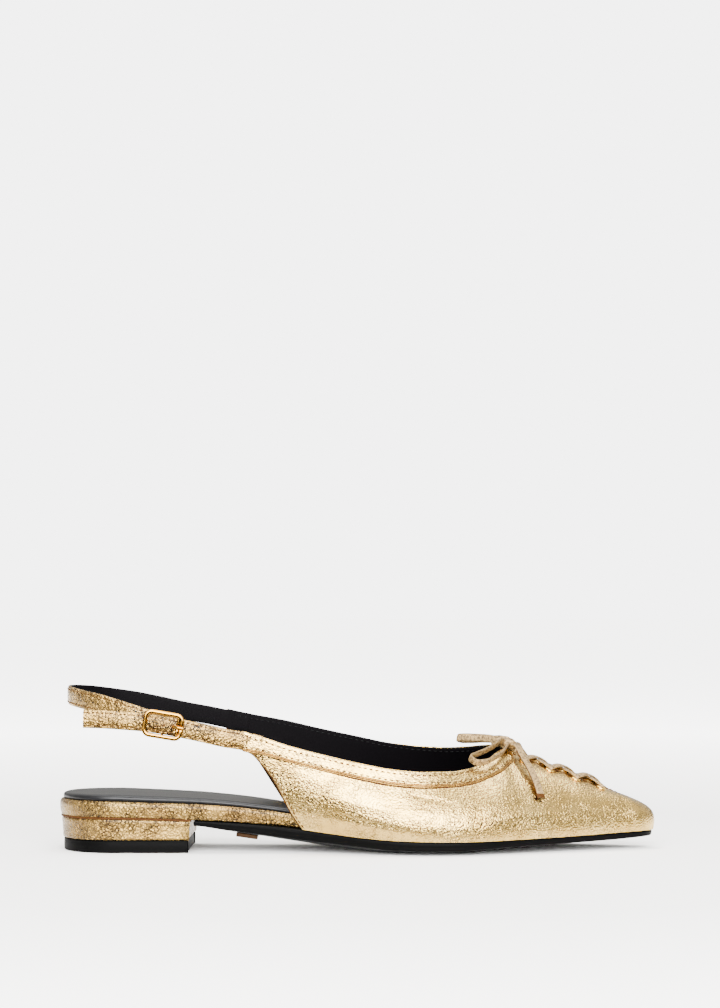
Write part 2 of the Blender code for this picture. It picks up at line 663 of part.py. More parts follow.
def make_sling_strap(foil):
    """Heel strap, its end folded round the buckle's bar and so thicker there."""
    path = strap_path(SLING, 45)
    across, outwards = upright_frame(path)
    thickness = np.full(len(path), STRAP_THICKNESS)
    thickness[-4:] = np.linspace(STRAP_THICKNESS, LOOP_THICKNESS, 5)[1:]
    verts, faces = sweep(path, across, outwards, STRAP_WIDTH, thickness)
    strap = add_object("sling_strap", verts, faces, foil, 40)
    middle, _, up, outwards = buckle_place()
    bar_hole = cylinder("guide_bar_hole", middle - outwards * BAR_DEPTH, up,
                        BAR_WIRE / 2 + 0.25 * MM, 3 * STRAP_WIDTH)
    cut(strap, [bar_hole])
    return strap


def make_buckle_strap(foil):
    """Strap from the outer quarter through the buckle, with a hole for the prong."""
    path = strap_path(TAIL, 30)
    across, outwards = upright_frame(path)
    verts, faces = sweep(path, across, outwards, TAIL_WIDTH, STRAP_THICKNESS)
    strap = add_object("buckle_strap", verts, faces, foil, 40)
    middle, forward, _, outwards = buckle_place()
    slant = forward * 1.4 + outwards * 2.4
    cut(strap, [cylinder("guide_prong_hole", middle + forward * PRONG_HOLE, slant,
                         PRONG_WIRE / 2 + 0.4 * MM, 5 * MM)])
    return strap


def cut(obj, cutters):
    """Cut each guide shape out of an object with an exact Boolean."""
    for cutter in cutters:
        cutter.hide_render = True
        cutter.display_type = "WIRE"
        modifier = obj.modifiers.new("cut_" + cutter.name, "BOOLEAN")
        modifier.operation = "DIFFERENCE"
        modifier.object = cutter


def join_into(obj, others):
    """Fuse other solids into one object and leave the others as hidden guides."""
    for other in others:
        other.hide_render = True
        other.display_type = "WIRE"
        modifier = obj.modifiers.new("join_" + other.name, "BOOLEAN")
        modifier.operation = "UNION"
        modifier.object = other


def rod(name, points, radius, material, sides=10, closed=False):
    """Round rod along a path of points, closed into a ring or capped at both ends."""
    path = np.asarray(points, float)
    tangent = (np.roll(path, -1, 0) - np.roll(path, 1, 0)) if closed else np.gradient(path, axis=0)
    tangent /= np.linalg.norm(tangent, axis=1, keepdims=True)
    spread = path.max(axis=0) - path.min(axis=0)
    flat = np.zeros(3)
    flat[int(np.argmin(spread))] = 1.0
    side = np.cross(tangent, flat)
    side /= np.linalg.norm(side, axis=1, keepdims=True)
    other = np.cross(tangent, side)
    angle = np.arange(sides) * 2 * math.pi / sides
    verts = (path[:, None] + radius * np.cos(angle)[None, :, None] * side[:, None]
             + radius * np.sin(angle)[None, :, None] * other[:, None])
    count = len(path)
    faces = grid_faces(count, sides, closed=True)
    if closed:
        last = (count - 1) * sides
        faces += [(last + j, last + (j + 1) % sides, (j + 1) % sides, j) for j in range(sides)]
    else:
        faces += end_caps(count, sides)
    return add_object(name, verts.reshape(-1, 3), faces, material, 60)


def buckle_place():
    """Middle of the buckle, and its directions: along the strap forward, up and outwards."""
    path = strap_path(TAIL, 121)
    i = int(np.argmin(np.abs(path[:, 0] - BUCKLE_ALONG * LENGTH)))
    forward = path[i - 8] - path[i + 8]
    forward[1] = 0
    forward /= np.linalg.norm(forward)
    up = np.array([-forward[2], 0, forward[0]])
    return path[i], forward, up, np.array([0, -1.0, 0])


def make_buckle(metal):
    """Rounded wire frame outside the strap, its centre bar behind the strap, and the prong."""
    middle, forward, up, outwards = buckle_place()
    corner = np.linspace(0, math.pi / 2, 5)
    half_l, half_h = FRAME_LENGTH / 2 - FRAME_CORNER, FRAME_HEIGHT / 2 - FRAME_CORNER
    plan = []
    for quarter, (sx, sz) in enumerate(((1, 1), (-1, 1), (-1, -1), (1, -1))):
        turn = corner + quarter * math.pi / 2
        plan += [(sx * half_l + FRAME_CORNER * math.cos(a), sz * half_h + FRAME_CORNER * math.sin(a))
                 for a in turn]
    centre = middle + outwards * FRAME_LIFT
    points = [centre + forward * a + up * b for a, b in plan]
    frame = rod("buckle_frame", points, FRAME_WIRE / 2, metal, 8, closed=True)
    behind = middle - outwards * BAR_DEPTH
    leg = FRAME_HEIGHT / 2
    bar = [centre + up * leg, behind + up * leg, behind - up * leg, centre - up * leg]
    bar = round_corners(bar, 1.0 * MM)
    centre_bar = rod("guide_centre_bar", bar, BAR_WIRE / 2, metal, 8)
    join_into(frame, [centre_bar])
    return frame


def round_corners(points, radius):
    """Replace each inner corner of a path with a short arc of three points."""
    out = [points[0]]
    for a, b, c in zip(points, points[1:], points[2:]):
        into, away = (a - b) / np.linalg.norm(a - b), (c - b) / np.linalg.norm(c - b)
        out += [b + into * radius, b + (into + away) * radius * 0.29, b + away * radius]
    return np.array(out + [points[-1]])


def make_prong(metal):
    """Prong that comes through its hole in the strap and rests on the frame's front bar."""
    middle, forward, up, outwards = buckle_place()
    front_bar, over = FRAME_LENGTH / 2, FRAME_LIFT + FRAME_WIRE / 2 + GAP + PRONG_WIRE / 2
    route = [(PRONG_HOLE - 1.1 * MM, -1.9 * MM), (PRONG_HOLE, 0.0), (PRONG_HOLE + 1.1 * MM, 1.7 * MM),
             (PRONG_HOLE + 2.5 * MM, over - 0.2 * MM), (front_bar, over), (front_bar + MM, over)]
    points = [middle + forward * a + outwards * b for a, b in route]
    return rod("buckle_prong", resample(points, 9), PRONG_WIRE / 2, metal, 8)


def cylinder(name, centre, axis, radius, depth, sides=12):
    """Closed cylinder used as a cutter, its axis along a direction."""
    mesh = bpy.data.meshes.new(name)
    bm = bmesh.new()
    bmesh.ops.create_cone(bm, cap_ends=True, segments=sides, radius1=radius, radius2=radius,
                          depth=depth)
    turn = Vector((0, 0, 1)).rotation_difference(Vector(axis)).to_matrix().to_4x4()
    bm.transform(Matrix.Translation(Vector(centre)) @ turn)
    bm.to_mesh(mesh)
    bm.free()
    obj = bpy.data.objects.new(name, mesh)
    bpy.context.collection.objects.link(obj)
    return obj


def make_eyelet(name, centre, normal, metal):
    """Turned ring: a barrel through the hole and a rounded flange on the surface."""
    hole, barrel, rim = EYELET_HOLE / 2 - 0.55 * MM, EYELET_HOLE / 2 - 0.2 * MM, EYELET_WIDTH / 2
    low, top = EYELET_SEAT, EYELET_SEAT + EYELET_FLANGE
    profile = [(hole, -UPPER_WALL), (barrel, -UPPER_WALL), (barrel, low), (rim, low),
               (rim - 0.3 * MM, top), (hole, top)]
    turn = Vector((0, 0, 1)).rotation_difference(normal).to_matrix()
    sides, verts = 8, []
    for k in range(sides):
        a = 2 * math.pi * k / sides
        for radius, height in profile:
            local = Vector((radius * math.cos(a), radius * math.sin(a), height))
            verts.append(centre + turn @ local)
    size = len(profile)
    faces = [(k * size + j, ((k + 1) % sides) * size + j, ((k + 1) % sides) * size + (j + 1) % size,
              k * size + (j + 1) % size) for k in range(sides) for j in range(size)]
    return add_object(name, verts, faces, metal, 50)


def eyelet_places():
    """Centre and normal of each eyelet, by side and row from the throat."""
    return {(side, row): surface_point(along, side, EYELET_INSET)
            for side in (-1, 1) for row, along in enumerate(EYELET_ALONG)}


def lace_strand(name, start, end, lift, lace):
    """Flat strand from one eyelet over the slit to the next row's eyelet on the other side."""
    (a, a_normal), (b, b_normal) = start, end
    clear = EYELET_SEAT + EYELET_FLANGE + GAP + LACE_THICKNESS / 2
    t = np.linspace(0, 1, 9)[:, None]
    normal = (1 - t) * np.array(a_normal) + t * np.array(b_normal)
    normal /= np.linalg.norm(normal, axis=1, keepdims=True)
    path = (1 - t) * np.array(a) + t * np.array(b) + normal * clear
    path[:, 2] += lift * np.sin(math.pi * t[:, 0])
    tangent = np.gradient(path, axis=0)
    across = np.cross(normal, tangent)
    across /= np.linalg.norm(across, axis=1, keepdims=True)
    verts, faces = sweep(path, across, np.cross(tangent, across) / np.linalg.norm(
        tangent, axis=1, keepdims=True), LACE_WIDTH * 0.9, LACE_THICKNESS)
    return add_object(name, verts, faces, lace, 40)


def make_crossings(places, lace):
    """Six strands over the slit, fused where they cross and where they meet at an eyelet."""
    strands = []
    for row in range(len(EYELET_ALONG) - 1):
        for side in (-1, 1):
            strands.append(lace_strand("strand_%d_%d" % (row, side + 1), places[side, row],
                                       places[-side, row + 1], 2.2 * MM, lace))
    first = strands[0]
    first.name = "lace_crossings"
    join_into(first, strands[1:])
    return first


def flat_cord(name, route, count, width_way, material):
    """Flat lace along a route, its width laid as near as it can be to one direction."""
    path = resample(np.array(route) * MM, count)
    tangent = np.gradient(path, axis=0)
    tangent /= np.linalg.norm(tangent, axis=1, keepdims=True)
    across = np.array(width_way, float) - tangent * (tangent @ np.array(width_way))[:, None]
    across /= np.linalg.norm(across, axis=1, keepdims=True)
    verts, faces = sweep(path, across, np.cross(tangent, across), LACE_WIDTH, LACE_THICKNESS)
    return add_object(name, verts, faces, material, 40)


def make_bow(lace):
    """Knot, two loops and two tails of the lace."""
    knot = resample(np.array(KNOT) * MM, 7)
    rod("bow_knot", knot, 2.0 * MM, lace, 8)
    flat_cord("bow_loop_outer", LOOP_OUTER, 23, (0.25, -0.62, 0.74), lace)
    flat_cord("bow_loop_inner", LOOP_INNER, 23, (0.20, 0.35, 0.90), lace)
    flat_cord("bow_tail_outer", TAIL_OUTER, 12, (0.84, 0.55, 0.0), lace)
    flat_cord("bow_tail_inner", TAIL_INNER, 12, (0.84, -0.55, 0.0), lace)


def make_waist_plate(metal):
    """Small bare plate on the underside of the waist."""
    x = PLATE_ALONG * LENGTH
    slope = float(sole_middle(np.array(x + 3 * MM)) - sole_middle(np.array(x - 3 * MM))) / (6 * MM)
    mesh = bpy.data.meshes.new("waist_plate")
    bm = bmesh.new()
    bmesh.ops.create_cube(bm, size=1.0)
    size = Matrix.Diagonal((PLATE_LENGTH, PLATE_WIDTH, PLATE_THICKNESS, 1))
    turn = Matrix.Rotation(-math.atan(slope), 4, "Y")
    down = float(sole_middle(np.array(x))) - 2 * GAP - PLATE_THICKNESS / 2
    place = Matrix.Translation((x, float(centre_line(np.array(x))), down))
    bm.transform(place @ turn @ size)
    bmesh.ops.bevel(bm, geom=list(bm.edges), offset=0.3 * MM, segments=1, affect="EDGES")
    bm.to_mesh(mesh)
    bm.free()
    mesh.materials.append(metal)
    obj = bpy.data.objects.new("waist_plate", mesh)
    bpy.context.collection.objects.link(obj)
    return obj


def stand_on_origin():
    """Move everything so that the box of the shoe, without its bow, stands on the origin."""
    bpy.context.view_layer.update()
    points = np.concatenate([[tuple(v.co) for v in o.data.vertices] for o in bpy.data.objects
                             if not o.hide_render and not o.name.startswith("bow_")])
    low, high = points.min(axis=0), points.max(axis=0)
    shift = Matrix.Translation((-(low[0] + high[0]) / 2, -(low[1] + high[1]) / 2, -low[2]))
    for obj in bpy.data.objects:
        obj.data.transform(shift)


def main():
    for obj in list(bpy.data.objects):
        bpy.data.objects.remove(obj, do_unlink=True)
    foil = make_material("gold_foil_leather", "D9BE8F", 0.38, 0.85)
    satin = make_material("black_sock", "17161A", 0.45, 0.0)
    rubber = make_material("black_rubber", "0E0D0E", 0.55, 0.0)
    sole = make_material("black_sole", "121012", 0.35, 0.0)
    metal = make_material("polished_gold_metal", "E3B676", 0.16, 1.0)
    lace = make_material("gold_lace", "D8BE92", 0.6, 0.3)
    make_top_lift(rubber)
    make_heel_block(foil)
    make_outsole(sole)
    make_footbed(foil)
    make_sock(satin)
    upper = make_upper(foil)
    places = eyelet_places()
    cutters = []
    for (side, row), (centre, normal) in places.items():
        name = "%s_%d" % ("outer" if side < 0 else "inner", row + 1)
        cutters.append(cylinder("hole_" + name, centre, normal, EYELET_HOLE / 2, 8 * MM))
        make_eyelet("eyelet_" + name, centre, normal, metal)
    cut(upper, cutters)
    make_sling_strap(foil)
    make_buckle_strap(foil)
    make_buckle(metal)
    make_prong(metal)
    make_crossings(places, lace)
    make_bow(lace)
    make_waist_plate(metal)
    stand_on_origin()


main()
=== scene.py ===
# %% [markdown]
# # A pointed slingback flat in crackled gold leather
#
# The shoe is a thin wall of foiled leather drawn over a pointed last, closed at the back by one
# narrow strap. This lesson builds each piece as a surface of two numbers, on the sizes of the
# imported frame. The frame comes first, because every piece has to sit where its solid does.

# %% Load the frame
import math

import bmesh
import bpy
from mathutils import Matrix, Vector
import numpy as np


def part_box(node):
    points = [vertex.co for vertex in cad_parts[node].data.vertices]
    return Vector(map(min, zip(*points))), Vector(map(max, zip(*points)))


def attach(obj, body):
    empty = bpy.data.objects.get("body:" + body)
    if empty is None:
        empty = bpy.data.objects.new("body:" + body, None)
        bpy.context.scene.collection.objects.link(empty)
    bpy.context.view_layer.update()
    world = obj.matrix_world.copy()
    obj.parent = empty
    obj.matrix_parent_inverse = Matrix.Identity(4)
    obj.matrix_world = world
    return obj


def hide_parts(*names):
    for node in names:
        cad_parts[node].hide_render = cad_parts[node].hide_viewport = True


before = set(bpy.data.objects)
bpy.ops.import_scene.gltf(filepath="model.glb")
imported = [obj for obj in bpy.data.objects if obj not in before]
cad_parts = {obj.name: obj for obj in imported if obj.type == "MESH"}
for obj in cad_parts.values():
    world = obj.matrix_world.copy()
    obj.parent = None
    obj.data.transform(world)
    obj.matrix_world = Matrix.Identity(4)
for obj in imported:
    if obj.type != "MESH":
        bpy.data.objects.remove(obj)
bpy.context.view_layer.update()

# %% [markdown]
# ## Sizes of the shoe
#
# A last maker works from length, ball width and a few heights, and so does this script. The
# tables hold shares of those sizes, one row for each station along the shoe. They are the same
# ones that the solids use, so the skin made here lies on them.

# %% Driving sizes and tables
MM = 0.001
LENGTH = 265.2 * MM
BALL_WIDTH = 78.0 * MM
SEAT_HEIGHT = 15.3 * MM
THROAT_HEIGHT = 45.0 * MM
STRAP_HEIGHT = 69.0 * MM
HEEL_LENGTH = 60.2 * MM
HEEL_ROUND = 26.0 * MM
TOE_ROUND = 9.0 * MM
LIFT_THICKNESS = 5.5 * MM
BOARD_THICKNESS = 7.3 * MM
SOLE_THICKNESS = 4.0 * MM
SOCK_THICKNESS = 2.9 * MM
GAP = 0.3 * MM
UPPER_WALL = 1.8 * MM
BAND_WIDTH = 7.2 * MM
BAND_STEP = 0.5 * MM
STRAP_WIDTH = 8.2 * MM
STRAP_THICKNESS = 2.0 * MM
TAIL_WIDTH = 8.0 * MM
LACE_WIDTH = 3.6 * MM
LACE_THICKNESS = 1.0 * MM

OUTLINE = np.array([
    # along, centre, half width: shares of LENGTH and BALL_WIDTH
    (0.000, 0.000, 0.333), (0.091, 0.000, 0.333), (0.170, -0.003, 0.330), (0.227, -0.006, 0.314),
    (0.284, -0.018, 0.296), (0.341, -0.032, 0.286), (0.398, -0.042, 0.300), (0.455, -0.045, 0.340),
    (0.511, -0.042, 0.398), (0.568, -0.035, 0.450), (0.614, -0.024, 0.478), (0.659, -0.010, 0.484),
    (0.705, 0.008, 0.463), (0.750, 0.026, 0.421), (0.795, 0.036, 0.367), (0.841, 0.043, 0.305),
    (0.886, 0.049, 0.241), (0.932, 0.054, 0.176), (0.970, 0.058, 0.125), (1.000, 0.060, 0.095),
])

PROFILE = np.array([
    # along, seat, board, edge, middle: shares of LENGTH, SEAT_HEIGHT, BOARD_ and SOLE_THICKNESS
    (0.000, 1.000, 1.00, 3.05, 2.90), (0.091, 0.995, 0.97, 3.05, 2.90),
    (0.170, 0.965, 0.96, 3.05, 2.90), (0.227, 0.930, 0.96, 3.00, 2.80),
    (0.284, 0.890, 0.91, 2.50, 2.25), (0.341, 0.820, 0.85, 2.06, 1.70),
    (0.398, 0.715, 0.78, 1.60, 1.15), (0.455, 0.590, 0.66, 1.22, 0.62),
    (0.511, 0.485, 0.52, 0.88, 0.20), (0.557, 0.430, 0.42, 0.60, 0.00),
    (0.606, 0.405, 0.38, 0.50, 0.00), (0.663, 0.392, 0.38, 0.52, 0.00),
    (0.720, 0.398, 0.38, 0.70, 0.20), (0.777, 0.418, 0.38, 0.86, 0.45),
    (0.833, 0.440, 0.38, 0.98, 0.66), (0.890, 0.470, 0.38, 1.10, 0.86),
    (0.947, 0.508, 0.38, 1.25, 1.08), (1.000, 0.538, 0.38, 1.42, 1.32),
])

print("length", LENGTH / MM, "mm, ball width", BALL_WIDTH / MM, "mm")

# %% [markdown]
# The upper needs a finer table. Each row is one rib from the topline down to the feather line,
# for the outer and the inner side, with the directions in which the leather leaves one and
# reaches the other. Angles are in degrees, and the rest are shares of the sizes above.

# %% Ribs and eyelets
RIBS = np.array([
    # Ribs from the rear edge of a quarter to the toe, outer side before inner where there are two:
    # foot, top (2), out (2), rise (2), aim, tilt (2), lean (2), hold_top, hold_foot, band
    (0.611, 0.311, 0.273, 0.353, 0.372, 1.191, 1.353, 90, 2, 0, 12, 25, 0.35, 0.33, 1.20),
    (0.591, 0.345, 0.318, 0.354, 0.376, 1.133, 1.298, 90, 4, 2, 12, 25, 0.35, 0.33, 1.04),
    (0.561, 0.390, 0.371, 0.356, 0.385, 1.047, 1.242, 90, 7, 4, 13, 24, 0.35, 0.34, 0.98),
    (0.523, 0.447, 0.436, 0.364, 0.391, 0.962, 1.156, 90, 10, 6, 14, 22, 0.35, 0.35, 0.97),
    (0.481, 0.508, 0.500, 0.374, 0.391, 0.880, 1.078, 90, 13, 10, 16, 20, 0.35, 0.36, 0.97),
    (0.439, 0.564, 0.561, 0.378, 0.378, 0.820, 1.009, 90, 18, 16, 18, 18, 0.35, 0.38, 0.97),
    (0.402, 0.610, 0.610, 0.367, 0.353, 0.798, 0.982, 90, 24, 24, 18, 17, 0.35, 0.38, 0.99),
    (0.367, 0.652, 0.652, 0.327, 0.305, 0.796, 0.973, 86, 32, 33, 17, 16, 0.35, 0.38, 1.04),
    (0.333, 0.688, 0.688, 0.265, 0.241, 0.822, 0.985, 80, 41, 43, 16, 15, 0.35, 0.37, 1.16),
    (0.302, 0.714, 0.714, 0.190, 0.167, 0.884, 1.004, 75, 50, 52, 15, 14, 0.35, 0.37, 1.38),
    (0.269, 0.732, 0.732, 0.113, 0.100, 0.955, 1.012, 72, 57, 58, 14, 13, 0.35, 0.36, 1.66),
    (0.235, 0.746, 0.746, 0.046, 0.046, 0.984, 0.996, 74, 60, 61, 12, 12, 0.35, 0.36, 1.45),
    (0.201, 0.773, 0.773, 0.033, 0.033, 0.924, 0.926, 75, 66, 66, 12, 12, 0.35, 0.36, 0.30),
    (0.163, 0.811, 0.811, 0.032, 0.032, 0.838, 0.838, 72, 72, 72, 12, 12, 0.35, 0.36, 0.26),
    (0.125, 0.852, 0.852, 0.029, 0.029, 0.748, 0.748, 67, 76, 76, 12, 12, 0.37, 0.37, 0.20),
    (0.087, 0.892, 0.892, 0.024, 0.024, 0.657, 0.657, 58, 78, 78, 12, 12, 0.40, 0.38, 0.18),
    (0.053, 0.921, 0.921, 0.015, 0.015, 0.587, 0.587, 42, 78, 78, 13, 13, 0.46, 0.40, 0.17),
    (0.027, 0.930, 0.930, 0.008, 0.008, 0.562, 0.562, 20, 75, 75, 15, 15, 0.55, 0.41, 0.17),
    (0.000, 0.933, 0.933, 0.000, 0.000, 0.556, 0.556, 0, 71, 71, 17, 17, 0.60, 0.42, 0.17),
])
TOE_RIB = len(RIBS) - 1
REAR_EDGE = np.array([
    # drop, run: how far a quarter's rear edge has come forward for each share of its drop
    (0.00, 0.00), (0.04, 0.15), (0.14, 0.29), (0.25, 0.42), (0.38, 0.545), (0.54, 0.665),
    (0.77, 0.82), (0.93, 0.94), (1.00, 1.00),
])
REAR_FADE = 4.5
EYELET_ALONG = (0.779, 0.823, 0.867, 0.911)
EYELET_INSET = 5.6 * MM
print("ribs", len(RIBS), "and eyelets", len(EYELET_ALONG), "on each side")

# %% [markdown]
# ## Smooth curves from tables
#
# Reading a table with straight lines would leave kinks that polished leather shows at once. A
# cubic that never overshoots its points keeps flat stretches flat, which matters under the ball,
# so the tables use that. Routes in space use a plain cubic with the neighbours' slope.

# %% Curves


def smooth(knots, values, at):
    """Cubic through table points: slope is the harmonic mean of the two chords, 0 at a turn."""
    knots, values = np.asarray(knots, float), np.asarray(values, float)
    at = np.clip(np.asarray(at, float), knots[0], knots[-1])
    step, slope = np.diff(knots), np.diff(values) / np.diff(knots)
    tangent = np.zeros_like(values)
    tangent[0], tangent[-1] = slope[0], slope[-1]
    rising = slope[:-1] * slope[1:] > 0
    before, after = 2 * step[1:] + step[:-1], step[1:] + 2 * step[:-1]
    safe = np.where(rising, slope[:-1], 1.0), np.where(rising, slope[1:], 1.0)
    mean = (before + after) / (before / safe[0] + after / safe[1])
    tangent[1:-1] = np.where(rising, mean, 0.0)
    return hermite(knots, values, tangent, at)


def hermite(knots, values, tangent, at):
    """Between two knots: the cubic with the given values and slopes at both ends."""
    step = np.diff(knots)
    i = np.clip(np.searchsorted(knots, at, side="right") - 1, 0, len(knots) - 2)
    t = (at - knots[i]) / step[i]
    a, b, p, q = values[i], values[i + 1], tangent[i] * step[i], tangent[i + 1] * step[i]
    return a + t * (p + t * (3 * (b - a) - 2 * p - q + t * (2 * (a - b) + p + q)))


def resample(points, count):
    """Even steps on a smooth route: each coordinate is a cubic of the length run so far."""
    points = np.asarray(points, float)
    run = np.concatenate([[0], np.linalg.norm(np.diff(points, axis=0), axis=1).cumsum()])
    at = np.linspace(0, run[-1], count)
    columns = [hermite(run, column, np.gradient(column, run), at) for column in points.T]
    return np.stack(columns, axis=1)


def unit(vectors):
    """Each vector divided by its length."""
    return vectors / np.maximum(np.linalg.norm(vectors, axis=-1, keepdims=True), 1e-12)


def rise_over(x, start, end):
    """Soft step: 0 before start, 1 after end, three t squared less two t cubed between."""
    t = np.clip((np.asarray(x, float) - start) / (end - start), 0, 1)
    return t * t * (3 - 2 * t)


def centre_line(x):
    """Middle of the shoe in plan: ball width times the second column of the outline."""
    return BALL_WIDTH * smooth(OUTLINE[:, 0], OUTLINE[:, 1], x / LENGTH)


def half_width(x):
    """Half the width in plan: ball width times the third column of the outline."""
    return BALL_WIDTH * smooth(OUTLINE[:, 0], OUTLINE[:, 2], x / LENGTH)


def seat_line(x):
    """Height of the feather line, where the upper meets the sole."""
    return SEAT_HEIGHT * smooth(PROFILE[:, 0], PROFILE[:, 1], x / LENGTH)


def board_top(x):
    """Height of the footbed: feather line plus a share of the board's thickness."""
    return seat_line(x) + BOARD_THICKNESS * smooth(PROFILE[:, 0], PROFILE[:, 2], x / LENGTH)


def sole_edge(x):
    """Height of the sole's lower rim, as a share of the sole's thickness."""
    return SOLE_THICKNESS * smooth(PROFILE[:, 0], PROFILE[:, 3], x / LENGTH)


def sole_middle(x):
    """Height of the sole's underside along its middle, 0 under the ball."""
    return SOLE_THICKNESS * smooth(PROFILE[:, 0], PROFILE[:, 4], x / LENGTH)


print("ball is flat from", np.round(sole_middle(np.array([150, 160, 170]) * MM), 6))

# %% [markdown]
# ## The upper as a surface of two numbers
#
# A shoemaker thinks of the upper as ribs that run from the topline down to the feather line,
# where leather meets sole. The first number says which rib, from the outer rear edge (-18) round
# the toe (0) to the inner rear edge (18). The second is the distance down that rib. Every seam,
# stitch and crease is then placed by the same two numbers. A sculpted mesh would look as good,
# but nothing on it could be placed by measure.

# %% Feather line and ribs
UNROLLED_HEEL = HEEL_ROUND * (1 - math.pi / 2)
UNROLLED_TOE = LENGTH - TOE_ROUND * (1 - math.pi / 2)


def outline_side(q, side):
    """Feather line in plan: x runs with q, and an arc closes the half width at each end."""
    q = np.asarray(q, float)
    toe = np.clip((q - (LENGTH - TOE_ROUND)) / TOE_ROUND, 0, math.pi / 2)
    heel = np.clip((HEEL_ROUND - q) / HEEL_ROUND, 0, math.pi / 2)
    x = np.clip(q, HEEL_ROUND, LENGTH - TOE_ROUND)
    x = x + TOE_ROUND * np.sin(toe) - HEEL_ROUND * np.sin(heel)
    return np.stack([x, centre_line(x) + side * half_width(x) * np.cos(toe) * np.cos(heel)], -1)


def rib_value(outer, inner, s, sign=1):
    """One table column as a smooth function of the rib number, the inner side times sign."""
    values = np.concatenate([RIBS[:, outer], sign * RIBS[-2::-1, inner]])
    return smooth(np.arange(-TOE_RIB, TOE_RIB + 1), values, s)


def band_at(s):
    """Width of the topline band at rib s."""
    return BAND_WIDTH * rib_value(14, 14, s)


def foot_point(s):
    """Where rib s meets the feather line, and the outward direction in plan there.

    The outward direction is the step along the line, turned a quarter right.
    """
    def at(back):
        """The same point for a length measured back from the toe, below 0 on the inner side."""
        q = UNROLLED_TOE - np.abs(back)
        plan = np.where((back > 0)[:, None], outline_side(q, -1), outline_side(q, 1))
        return np.column_stack([plan, seat_line(plan[:, 0])])

    back = LENGTH * rib_value(0, 0, s, -1)
    step = at(back - 0.2 * MM) - at(back + 0.2 * MM)
    return at(back), unit(np.stack([step[:, 1], -step[:, 0], 0 * back], axis=1))


print("feather line is", round(UNROLLED_TOE / MM, 1), "mm long on each side")

# %% [markdown]
# A rib is a cubic curve with four control points, which is the shortest way to say where the
# leather starts, where it ends and how it leaves both. Points at a measured distance down a rib
# are then looked up along its length, so a seam stays parallel to the topline.

# %% Rib curves


def rib_curves(s, samples=161):
    """Each rib is a cubic curve with four control points.

    It leaves the topline by the angle tilt towards aim in plan, and reaches the feather line from
    above, leaning out by lean. At the back, x is drawn forward along the curved rear edge.
    """
    foot, foot_out = foot_point(s)
    top_x = LENGTH * rib_value(1, 2, s)
    top_y = centre_line(top_x) - BALL_WIDTH * rib_value(3, 4, s, -1)
    top = np.stack([top_x, top_y, THROAT_HEIGHT * rib_value(5, 6, s)], axis=1)
    aim, tilt = np.radians(rib_value(7, 7, s, -1)), np.radians(rib_value(8, 9, s))
    lean = np.radians(rib_value(10, 11, s))[:, None]
    down = np.stack([np.cos(aim) * np.sin(tilt), -np.sin(aim) * np.sin(tilt), -np.cos(tilt)], 1)
    up = foot_out * np.sin(lean) + np.array([0, 0, 1]) * np.cos(lean)
    chord = np.linalg.norm(foot - top, axis=1)[:, None]
    hold_top = top + down * chord * rib_value(12, 12, s)[:, None]
    hold_foot = foot + up * chord * rib_value(13, 13, s)[:, None]
    t = np.linspace(0, 1, samples)[None, :, None]
    curve = ((1 - t) ** 3 * top[:, None] + 3 * t * (1 - t) ** 2 * hold_top[:, None]
             + 3 * t * t * (1 - t) * hold_foot[:, None] + t ** 3 * foot[:, None])
    band = band_at(s)[:, None]
    drop = (top[:, 2:] - band - curve[:, :, 2]) / (top[:, 2:] - band - foot[:, 2:])
    run = smooth(REAR_EDGE[:, 0], REAR_EDGE[:, 1], drop)
    rear_x = top[:, :1] + run * (foot[:, :1] - top[:, :1])
    fade = np.clip((TOE_RIB - np.abs(s)) / REAR_FADE, 0, 1)[:, None]
    curve[:, :, 0] += (1 - fade) ** 2 * (1 + 2 * fade) * (rear_x - curve[:, :, 0])
    return curve


def along_ribs(curve, distance):
    """Points at distances down each rib, and the ribs' lengths.

    Lengths are summed down each rib. Rib number n is set 10 n metres on, so that one interpolation
    serves all the ribs at once.
    """
    steps = np.linalg.norm(np.diff(curve, axis=1), axis=2)
    run = np.concatenate([np.zeros((len(curve), 1)), steps.cumsum(axis=1)], axis=1)
    apart = 10.0 * np.arange(len(curve))[:, None]
    wanted = np.minimum(distance, run[:, -1:]) + apart
    points = [np.interp(wanted, (run + apart).ravel(), curve[:, :, k].ravel()) for k in range(3)]
    return np.stack(points, axis=-1), run[:, -1:]


def grid_normals(grid):
    """Normal of a grid of ribs by rows: the row step crossed with the rib step."""
    return unit(np.cross(np.gradient(grid, axis=1), np.gradient(grid, axis=0)))


heel_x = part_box("footbed")[0].x
heel_y = (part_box("top_lift")[0].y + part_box("top_lift")[1].y) / 2
SHIFT = np.array([heel_x, heel_y, 0.0])
print("shoe to frame", np.round(SHIFT / MM, 3), "mm")

# %% [markdown]
# ## From arrays to meshes
#
# Every piece is worked out in the shoe's own frame, with x from the heel to the toe, and moved
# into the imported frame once, when its mesh is made. Grids give quads, and a closed section
# carried along a path gives a solid with two end caps. Doubles are merged only where rings shrink
# onto a line.

# %% Mesh helpers


def quads(rows, columns, closed=False):
    """Quads of a grid stored row by row; closed joins the last column to the first."""
    i, j = np.meshgrid(np.arange(rows - 1), np.arange(columns - (not closed)), indexing="ij")
    k = (j + 1) % columns
    corners = [i * columns + j, i * columns + k, (i + 1) * columns + k, (i + 1) * columns + j]
    return np.stack(corners, axis=-1).reshape(-1, 4)


